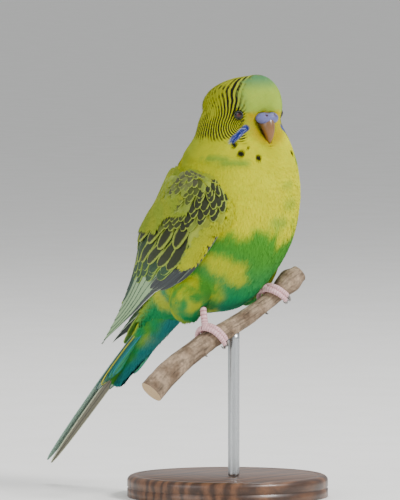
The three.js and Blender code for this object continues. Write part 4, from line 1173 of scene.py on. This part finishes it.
def build_bill():
    """Both halves of the bill, the upper one hooked over the lower, of polished horn."""
    # The horn is darker towards its tip, and wear keeps it smooth under a thin gloss
    horn = graded("bill_horn", ((0.0, "#6f5640"), (0.35, "#745436"), (0.6, "#7c5226"), (0.85, "#765422"),
                                (1.0, "#5c4c28")), 1500.0, 0.3, Coat_Weight=0.2)
    p, t = hook_grid(BILL, 46, 40)
    # A low keel runs down the middle of the bill's back
    out = unit(p - p.mean(1, keepdims=True))
    keel = np.exp(-((out @ HEAD_SIDE) / 0.25) ** 2) * (out @ HEAD_FRONT > 0)
    p = p + out * (0.12 * keel * smooth(0.1, 0.3, t) * smooth(1.0, 0.8, t))[..., None]
    tube_piece("upper_bill", p, horn, ("beak_upper",), "beak", Along=t)
    p, t = hook_grid(UNDER_BILL, 24, 32)
    tube_piece("lower_bill", p, horn, ("beak_lower",), "beak", Along=t * 0.5)


def build_cere():
    """Waxy skin: the reach from its middle is that of two lobes and a flat band between them, softly joined
    by a sum of sixth powers, with a round nostril pressed into each lobe."""
    # Waxy skin shines softly; inside the nostrils it is redder, and painted darkest as the shade in the holes
    wax = graded("cere_wax_skin", ((0.0, "#401a1c"), (0.3, "#4c4470"), (0.55, "#524f84"), (1.0, "#5d5f90")),
                 1800.0, 0.42)
    direction = ball(60, 96, 0.02, UP, HEAD_FRONT, HEAD_SIDE)
    middle = on_face(CERE["forward"], 0.0, CERE["up"])
    band = direction @ np.stack([HEAD_FRONT / 2.6, HEAD_SIDE / 4.3, (UP + 0.1 * HEAD_FRONT) / 2.1]).T
    reach = [1 / np.linalg.norm(band, axis=-1)]
    for s in (-1, 1):
        turn = np.radians(s * 24.0)
        f = HEAD_FRONT * np.cos(turn) + HEAD_SIDE * np.sin(turn)
        scale = np.stack([f / 2.2, np.cross(UP, f) / 3.0, UP / 2.25]).T
        d = direction @ scale
        e = (middle - on_face(CERE["forward"], s * CERE["left"], CERE["up"])) @ scale
        b = d @ e
        aa = np.sum(d * d, -1)
        reach.append((-b + np.sqrt(np.maximum(b * b - aa * (e @ e - 1), 0))) / aa)
    radius = sum(r ** 6 for r in reach) ** (1 / 6)
    p = middle + direction * radius[..., None]
    hole = np.minimum(*(np.linalg.norm(p - on_face(CERE["forward"] + 2.0, s * 2.3, CERE["up"] + 1.1), axis=-1)
                        for s in (-1, 1)))
    radius = radius - 0.55 * smooth(0.62, 0.28, hole) + 0.1 * np.exp(-((hole - 0.85) / 0.25) ** 2)
    tube_piece("cere_lobes", middle + direction * radius[..., None], wax, ("cere",), "cere",
               Along=smooth(0.25, 1.3, hole))


def build_eyes():
    """Glossy balls with a dark iris, and a folded ring of bare skin round each."""
    # A wet cornea gives one sharp highlight, and bare skin with folds about 0.4 mm wide is matt
    glass = graded("eye_cornea", ((0.0, "#4a1610"), (0.3, "#3a120c"), (0.42, "#080504"), (0.66, "#050403"),
                                  (1.0, "#0c0907")), 3000.0, 0.08, Specular_IOR_Level=0.45)
    lid_skin = patterned("eyelid_skin", "#20241d", "#3f463d", 2500.0, 0.6, 0.4)
    for name, s in (("right", -1), ("left", 1)):
        _, n, _, _ = slopes(EYE["u"], s * EYE["v"])
        one = unit(np.cross(n, UP))
        two = np.cross(n, one)
        direction = ball(36, 48, 0.03, n, one, two)
        middle = EYE_AT[s] + n * (EYE["out"] - EYE["radius"])
        tube_piece("eyeball_" + name, middle + EYE["radius"] * direction, glass, ("eye_" + name,), "eye",
                   Along=np.linalg.norm(np.cross(direction, n), axis=-1))
        tube = np.linspace(0, 2 * np.pi, 20, endpoint=False)[:, None]
        turn = np.linspace(0, 2 * np.pi, 72, endpoint=False)[None]
        ring = np.cos(turn)[..., None] * one + np.sin(turn)[..., None] * two
        radius = 0.19 + 0.0114 * np.sin(turn * 26)
        away = 1.58 + 0.1 * np.cos(turn) ** 2 + radius * np.cos(tube)
        p = EYE_AT[s] + ring * away[..., None] + n * (radius * np.sin(tube))[..., None]
        quads, maps = grid_faces(20, 72, True)
        make_piece("eyelids_" + name, p, [quads], lid_skin, [maps], None, ())


def build_face(settings):
    """Bill, cere with nostrils, eyes and their lids."""
    build_bill()
    build_cere()
    build_eyes()


PERCH_TABLE = np.array(PERCH, float)
PERCH_ALONG = np.array([np.sin(np.radians(PERCH_YAW)), np.cos(np.radians(PERCH_YAW)), 0])
PERCH_FRONT = np.array([np.cos(np.radians(PERCH_YAW)), -np.sin(np.radians(PERCH_YAW)), 0])


def perch_z(h):
    """Height of the branch's middle line."""
    return spline(PERCH_TABLE[:, 0], PERCH_TABLE[:, 1], h)


def perch_r(h):
    """Radius of the branch."""
    return spline(PERCH_TABLE[:, 0], PERCH_TABLE[:, 2], h)


def round_middle(h, turn, r):
    """A point at distance r from the branch's middle line, turned from its top towards the front."""
    h, turn, r = np.broadcast_arrays(h, turn, r)
    slope = np.arctan(perch_z(h + 0.5) - perch_z(h - 0.5))
    up = -np.sin(slope)[..., None] * PERCH_ALONG + np.cos(slope)[..., None] * UP
    middle = h[..., None] * PERCH_ALONG + perch_z(h)[..., None] * UP
    a = np.radians(turn)[..., None]
    return middle + r[..., None] * (up * np.cos(a) + PERCH_FRONT * np.sin(a))


def toe_line(along, toe, t, rise):
    """A toe's middle line drifts along the branch and bows round it, rise times its radius off the bark."""
    _, start, drift, bow = toe
    place = along + start + drift * t
    return round_middle(place, bow * t, perch_r(place) + 0.35 + TOE_RADIUS * rise)


def build_feet(settings):
    """Two feet with two toes forward and two back, ringed with scales, and their claws."""
    # Scales are painted darker in their grooves and paler on their crests as the shade of their relief, and
    # claws are of grey horn with a thin gloss
    scales = graded("foot_scale_keratin", ((0.0, "#7c5457"), (0.3, "#b98388"), (0.6, "#d4a4a8"),
                                           (1.0, "#dfb6b9")), 900.0, 0.5)
    horn = patterned("claw_horn", "#55504c", "#8d8580", 1200.0, 0.3, Coat_Weight=0.2)
    for name, along, ankle in FEET:
        # Leg and the pad under it, each with the mark that darkens the grooves between its scales as painted
        # shade
        root = round_middle(along, 0.0, perch_r(along) + 0.35 + TOE_RADIUS)
        bend = root + (np.array(ankle) - root) * 0.25
        bend[2] = root[2] + 1.2
        t, turn = tube_grid(44, 30)
        ring = np.abs(np.sin(t * np.pi * 9))
        radius = TOE_RADIUS * (1.32 - 0.15 * t) * (0.95 + 0.1 * ring)
        pad = root + ball(16, 24, 0.06, *np.eye(3)[[2, 0, 1]]) * TOE_RADIUS * np.array([1.5, 1.5, 1.2])
        tubes = [(pipe((root, bend, ankle), radius, t, turn), ring), (pad, 0.75)]
        for toe in TOES:
            t, turn = tube_grid(70, 28)
            ring = np.abs(np.sin(t * np.pi * 13)) ** 0.6
            size = TOE_RADIUS * (1.04 - 0.24 * t) * (0.93 + 0.12 * ring)
            size = size * np.where(t > 0.93, np.sqrt(np.maximum(1 - ((t - 0.93) / 0.075) ** 2, 0.05)), 1)
            middle = toe_line(along, toe, t, 1.02 - 0.12 * t)
            ahead = unit(toe_line(along, toe, t + 0.01, 1.0) - middle)
            tubes.append((around_line(middle, ahead, PERCH_ALONG, size, turn), ring))
            # Claw: a curved cone from the toe's end
            part, start, drift, bow = toe
            k = np.array([0.0, 0.35, 0.7, 1.0])
            place = along + start + drift * (1 + 0.15 * k)
            line = round_middle(place, bow + np.sign(bow) * (52 * k + 1),
                                perch_r(place) + 1.1 + 1.1 * np.sin(k * 2.6) - 0.35 * k)
            t, turn = tube_grid(26, 16)
            cone = pipe(line, 0.74 * (1 - t) ** 0.8 + 0.05, t, turn, PERCH_ALONG)
            tube_piece("claw_horn_" + name + "_" + part, cone, horn, ("claw_" + name + "_" + part,), "claw")
        points, faces, maps = join([closed_tube(p) for p, _ in tubes])
        grooves = [ends_too(np.broadcast_to(ring, p.shape[:2])) for p, ring in tubes]
        make_piece("scaled_foot_" + name, points, faces, scales, maps, {"Along": np.concatenate(grooves)},
                   ("foot_" + name,))


def bark_material():
    """Weathered bark: grey-brown with lengthwise cracks painted dark as the shade in them, pale lichen, and
    cut ends with rings.
    """
    made, tree = new_tree("weathered_bark")
    crack, is_cut, radius = three_marks(tree, "Bark")
    blend = add(tree, "MapRange", (grain_of(tree, 160.0, 6.0), 0.35, 0.65, 0.0, 1.0))[0]
    fine = grain_of(tree, 900.0, 5.0)
    colour = add(tree, "Mix", {0: blend, 6: rgba("#66523f"), 7: rgba("#a08a72")}, data_type="RGBA")[2]
    # Painted shade: the bark is darker down in its cracks
    colour = lit(tree, colour, crack, -0.6, 0.0, 0.45, 1.0)
    colour = lit(tree, colour, fine, 0.3, 0.7, 0.7, 1.25)
    # Growth rings about 0.6 mm apart on the cut ends
    shade = add(tree, "MapRange", (waves(tree, radius, 0.6), -1.0, 1.0, 0.0, 1.0))[0]
    wood = add(tree, "Mix", {0: shade, 6: rgba("#a98d66"), 7: rgba("#c9b08a")}, data_type="RGBA")[2]
    colour = add(tree, "Mix", {0: is_cut, 6: colour, 7: wood}, data_type="RGBA")[2]
    return finish(made, fine, 0.6, 0.0003, Base_Color=colour, Roughness=0.9)


def build_perch(settings):
    """The branch: round sections with knots and lengthwise cracks, cut square at both ends."""
    h = np.linspace(PERCH_TABLE[0, 0], PERCH_TABLE[-1, 0], 300)[:, None]
    turn = np.linspace(0, 360, 120, endpoint=False)[None]
    share = (h - h[0]) / (h[-1] - h[0])
    radius = perch_r(h) * (1 - 0.35 * smooth(0.93, 1, share)) + 0 * turn
    a = np.radians(turn)
    flat = np.stack([h * 0.35 + 0 * a, np.cos(a) * 7 + 0 * h, np.sin(a) * 7 + 0 * h], -1)
    crack = noise(flat, 1.3, 41) * 0.6 + noise(flat, 0.6, 42) * 0.4
    lump = noise(flat * np.array([1.0, 0.5, 0.5]), 3.2, 43)
    radius = radius + 0.22 * crack + 0.3 * lump - 0.25
    grip = np.zeros(radius.shape)
    for _, along, _ in FEET:
        grip = np.maximum(grip, smooth(7, 3, np.abs(h - along)) + 0 * turn)
    radius = radius - 0.15 * grip * np.maximum(lump, 0)
    body = round_middle(h, turn, radius)
    marks = np.stack([crack, 0 * crack, radius], -1)
    caps = []
    for row, end in ((0, h[0, 0]), (-1, h[-1, 0])):
        inner = np.linspace(0.06, 0.97, 9)[:, None] * radius[row][None]
        grid = round_middle(end, turn, inner)
        rings = np.stack([0 * inner, 1 + 0 * inner, inner], -1)
        caps.append((grid, rings) if row == 0 else (grid[::-1], rings[::-1]))
    p, marks = (np.concatenate([caps[0][k], (body, marks)[k], caps[1][k]]) for k in (0, 1))
    tube_piece("bark_branch", p, bark_material(), ("perch",), "bark", Bark=marks)


def lathe(profile, around, x=0.0, y=0.0):
    """A profile of radius and height in mm above the floor, turned round an upright line at x, y."""
    r, z = np.array(profile, float).T[:, :, None]
    a = np.linspace(0, 2 * np.pi, around, endpoint=False)
    return np.stack([x + r * np.cos(a), y + r * np.sin(a), z + 0 * a], -1) - ORIGIN


def build_stand(settings):
    """A turned walnut base with a shallow groove, and a brushed steel rod up to the branch."""
    walnut, tree = new_tree("oiled_walnut")
    # Rings of the tree about 3 mm apart cross the base as long grain
    stretch = (1.0, 0.12, 0.5)
    pore = grain_of(tree, 1400.0, 3.0, stretch)
    place = pore.node.inputs["Vector"].links[0].from_socket
    wave = add(tree, "TexWave", {"Vector": place, "Scale": 55.0, "Distortion": 9.0, "Detail": 4.0,
                                 "Detail Scale": 2.0})["Fac"]
    dark, pale = ((*colour, 1.0) for colour in (settings.dark_wood, settings.pale_wood))
    colour = add(tree, "Mix", {0: wave, 6: dark, 7: pale}, data_type="RGBA")[2]
    # Oil leaves open pores dark and gives the rest a low gloss
    finish(walnut, pore, 0.15, Base_Color=lit(tree, colour, pore, 0.3, 0.6, 0.75, 1.08), Roughness=0.42,
           Coat_Weight=0.15)
    profile = ((41.7, 0), (42.0, 0.3), (42.0, 3.4), (41.6, 3.7), (41.6, 4.1), (42.0, 4.4), (42.0, 7.0),
               (41.7, 7.9), (41.0, 8.6), (40.0, 9.0), (38.0, 9.0), (37.6, 8.75), (37.2, 9.0), (4.0, 9.0))
    tube_piece("turned_base", lathe(profile, 160), walnut, ("stand_base",), "base_wood")
    steel, tree = new_tree("brushed_steel")
    # Brush marks about 0.2 mm wide run up the rod
    grain = grain_of(tree, 5000.0, 2.0, (1.0, 1.0, 0.03))
    rough = add(tree, "MapRange", (grain, 0.3, 0.7, 0.22, 0.4))[0]
    colour = add(tree, "Mix", {0: grain, 6: rgba("#a9adb0"), 7: rgba("#c6c9cb")}, data_type="RGBA")[2]
    finish(steel, Base_Color=colour, Metallic=1.0, Roughness=rough)
    low, high = (np.array(corner) * 1000 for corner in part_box("stand_rod"))
    x, y, _ = (low + high) / 2
    profile = [(2.1, low[2]), (2.4, low[2] + 0.4)] + [(2.4, z) for z in np.linspace(low[2] + 1, high[2], 24)]
    tube_piece("steel_rod", lathe(profile, 64, x, y), steel, ("stand_rod",), "rod_steel")


def put(thing, aim, way, far=1.0):
    """Puts a lamp or the camera at way times far from aim, turned to look back at it."""
    thing.location = aim + way * far
    thing.rotation_euler = way.to_track_quat("Z", "Y").to_euler()
    bpy.context.scene.collection.objects.link(thing)


def build_stage(settings):
    """A wide pale floor, soft lamps, and the camera at the photograph's angle."""
    reach = (500, 1500, 4000, 9000, 26000)
    profile = [(r, -0.05) for r in reach] + [(r, -20.05) for r in reversed(reach)]
    points, faces, _ = closed_tube(lathe(profile, 96))
    floor = patterned("pale_matt_floor", "#e9e8e4", "#edece9", 30.0, 0.85, 0.05)
    faces = [tuple(corners) for rows in faces for corners in rows.tolist()]
    mesh = bpy.data.meshes.new("floor")
    mesh.from_pydata(((points + ORIGIN) * METRES).tolist(), [], faces)
    mesh.materials.append(floor)
    stage = bpy.data.objects.new("floor", mesh)
    bpy.context.scene.collection.objects.link(stage)
    world = bpy.data.worlds.new("studio")
    world.use_nodes = True
    backdrop = world.node_tree.nodes["Background"]
    backdrop.inputs[0].default_value = rgba("#e4e6e8")
    backdrop.inputs[1].default_value = settings.ambient
    bpy.context.scene.world = world
    # The middle of the picture, and the photograph's angle: from the bird's right, 40 degrees round towards
    # its front and 3 degrees above level
    aim = Vector((-0.0055, -0.0114, 0.1033))
    az = np.radians(40)
    el = np.radians(3)
    back = Vector((np.sin(az) * np.cos(el), -np.cos(az) * np.cos(el), np.sin(el)))
    right = Vector((np.cos(az), np.sin(az), 0))
    lift = back.cross(right)
    lamps = (("key_lamp", back * 0.75 + right * 1.05 + lift * 0.95, 0.5, 1.0),
             ("fill_lamp", back * 1.0 - right * 1.1 + lift * 0.5, 1.2, 0.35),
             ("top_lamp", back * -0.5 + right * 0.1 + lift * 1.4, 0.9, 0.5))
    for name, way, size, share in lamps:
        data = bpy.data.lights.new(name, "AREA")
        data.shape = "DISK"
        data.size = size
        data.energy = settings.lamp_power * share
        lamp = bpy.data.objects.new(name, data)
        put(lamp, aim, way)
    data = bpy.data.cameras.new("view")
    data.sensor_fit = "VERTICAL"
    data.sensor_height = 24
    # From 3 m the 500 pixels of the picture's height span 208.33 mm
    data.lens = 24 * 3000 / 208.33
    data.clip_end = 50
    camera = bpy.data.objects.new("view", data)
    put(camera, aim, back, 3.0)
    bpy.context.scene.camera = camera


# Add-on


class BudgerigarSettings(bpy.types.PropertyGroup):
    """Sizes and strengths that a user may change."""

    fullness: bpy.props.FloatProperty(
        name="Fullness", description="Share of the full number of feather tufts", default=1.0, min=0.1,
        max=2.0)
    lamp_power: bpy.props.FloatProperty(
        name="Lamp power", description="Power of the main lamp", default=30.0, min=0.0, subtype="POWER",
        unit="POWER")
    ambient: bpy.props.FloatProperty(
        name="Ambient light", description="Strength of the light from all round", default=0.75, min=0.0)
    dark_wood: bpy.props.FloatVectorProperty(
        name="Dark wood", description="Darker grain of the base", default=tuple(linear("#3a2417")), min=0.0,
        max=1.0, subtype="COLOR")
    pale_wood: bpy.props.FloatVectorProperty(
        name="Pale wood", description="Paler grain of the base", default=tuple(linear("#6b472e")), min=0.0,
        max=1.0, subtype="COLOR")


class PieceOperator:
    """Builds one group of pieces from the settings."""

    bl_options = {"REGISTER", "UNDO"}

    def execute(self, context):
        type(self).build(context.scene.budgerigar)
        return {"FINISHED"}


class BUDGERIGAR_OT_skin(PieceOperator, bpy.types.Operator):
    """Build the skin under the plumage"""

    bl_idname = "budgerigar.skin"
    bl_label = "Skin"
    build = staticmethod(build_skin)


class BUDGERIGAR_OT_coat(PieceOperator, bpy.types.Operator):
    """Build the soft plumage"""

    bl_idname = "budgerigar.coat"
    bl_label = "Soft plumage"
    build = staticmethod(build_coats)


class BUDGERIGAR_OT_wings(PieceOperator, bpy.types.Operator):
    """Build both wings' feathers"""

    bl_idname = "budgerigar.wings"
    bl_label = "Wings"
    build = staticmethod(build_wings)


class BUDGERIGAR_OT_tail(PieceOperator, bpy.types.Operator):
    """Build the tail's feathers"""

    bl_idname = "budgerigar.tail"
    bl_label = "Tail"
    build = staticmethod(build_tail)


class BUDGERIGAR_OT_face(PieceOperator, bpy.types.Operator):
    """Build bill, cere and eyes"""

    bl_idname = "budgerigar.face"
    bl_label = "Bill, cere and eyes"
    build = staticmethod(build_face)


class BUDGERIGAR_OT_feet(PieceOperator, bpy.types.Operator):
    """Build feet and claws"""

    bl_idname = "budgerigar.feet"
    bl_label = "Feet and claws"
    build = staticmethod(build_feet)


class BUDGERIGAR_OT_perch(PieceOperator, bpy.types.Operator):
    """Build the branch"""

    bl_idname = "budgerigar.perch"
    bl_label = "Branch"
    build = staticmethod(build_perch)


class BUDGERIGAR_OT_stand(PieceOperator, bpy.types.Operator):
    """Build base and rod"""

    bl_idname = "budgerigar.stand"
    bl_label = "Stand"
    build = staticmethod(build_stand)


class BUDGERIGAR_OT_stage(PieceOperator, bpy.types.Operator):
    """Build floor, lamps and camera"""

    bl_idname = "budgerigar.stage"
    bl_label = "Stage"
    build = staticmethod(build_stage)


OPERATORS = (BUDGERIGAR_OT_skin, BUDGERIGAR_OT_coat, BUDGERIGAR_OT_wings, BUDGERIGAR_OT_tail,
             BUDGERIGAR_OT_face, BUDGERIGAR_OT_feet, BUDGERIGAR_OT_perch, BUDGERIGAR_OT_stand,
             BUDGERIGAR_OT_stage)


class BUDGERIGAR_PT_panel(bpy.types.Panel):
    """Settings and one button for each group of pieces"""

    bl_idname = "BUDGERIGAR_PT_panel"
    bl_label = "Budgerigar"
    bl_space_type = "VIEW_3D"
    bl_region_type = "UI"
    bl_category = "Budgerigar"

    def draw(self, context):
        settings = context.scene.budgerigar
        for key in ("fullness", "lamp_power", "ambient", "dark_wood", "pale_wood"):
            self.layout.prop(settings, key)
        for operator in OPERATORS:
            self.layout.operator(operator.bl_idname)


CLASSES = (BudgerigarSettings, *OPERATORS, BUDGERIGAR_PT_panel)


def register():
    for cls in CLASSES:
        bpy.utils.register_class(cls)
    bpy.types.Scene.budgerigar = bpy.props.PointerProperty(type=BudgerigarSettings)


def unregister():
    del bpy.types.Scene.budgerigar
    for cls in reversed(CLASSES):
        bpy.utils.unregister_class(cls)


def main():
    """Builds every piece in order."""
    register()
    bpy.ops.budgerigar.skin()
    bpy.ops.budgerigar.coat()
    bpy.ops.budgerigar.wings()
    bpy.ops.budgerigar.tail()
    bpy.ops.budgerigar.face()
    bpy.ops.budgerigar.feet()
    bpy.ops.budgerigar.perch()
    bpy.ops.budgerigar.stand()
    bpy.ops.budgerigar.stage()


if __name__ == "__main__":
    main()
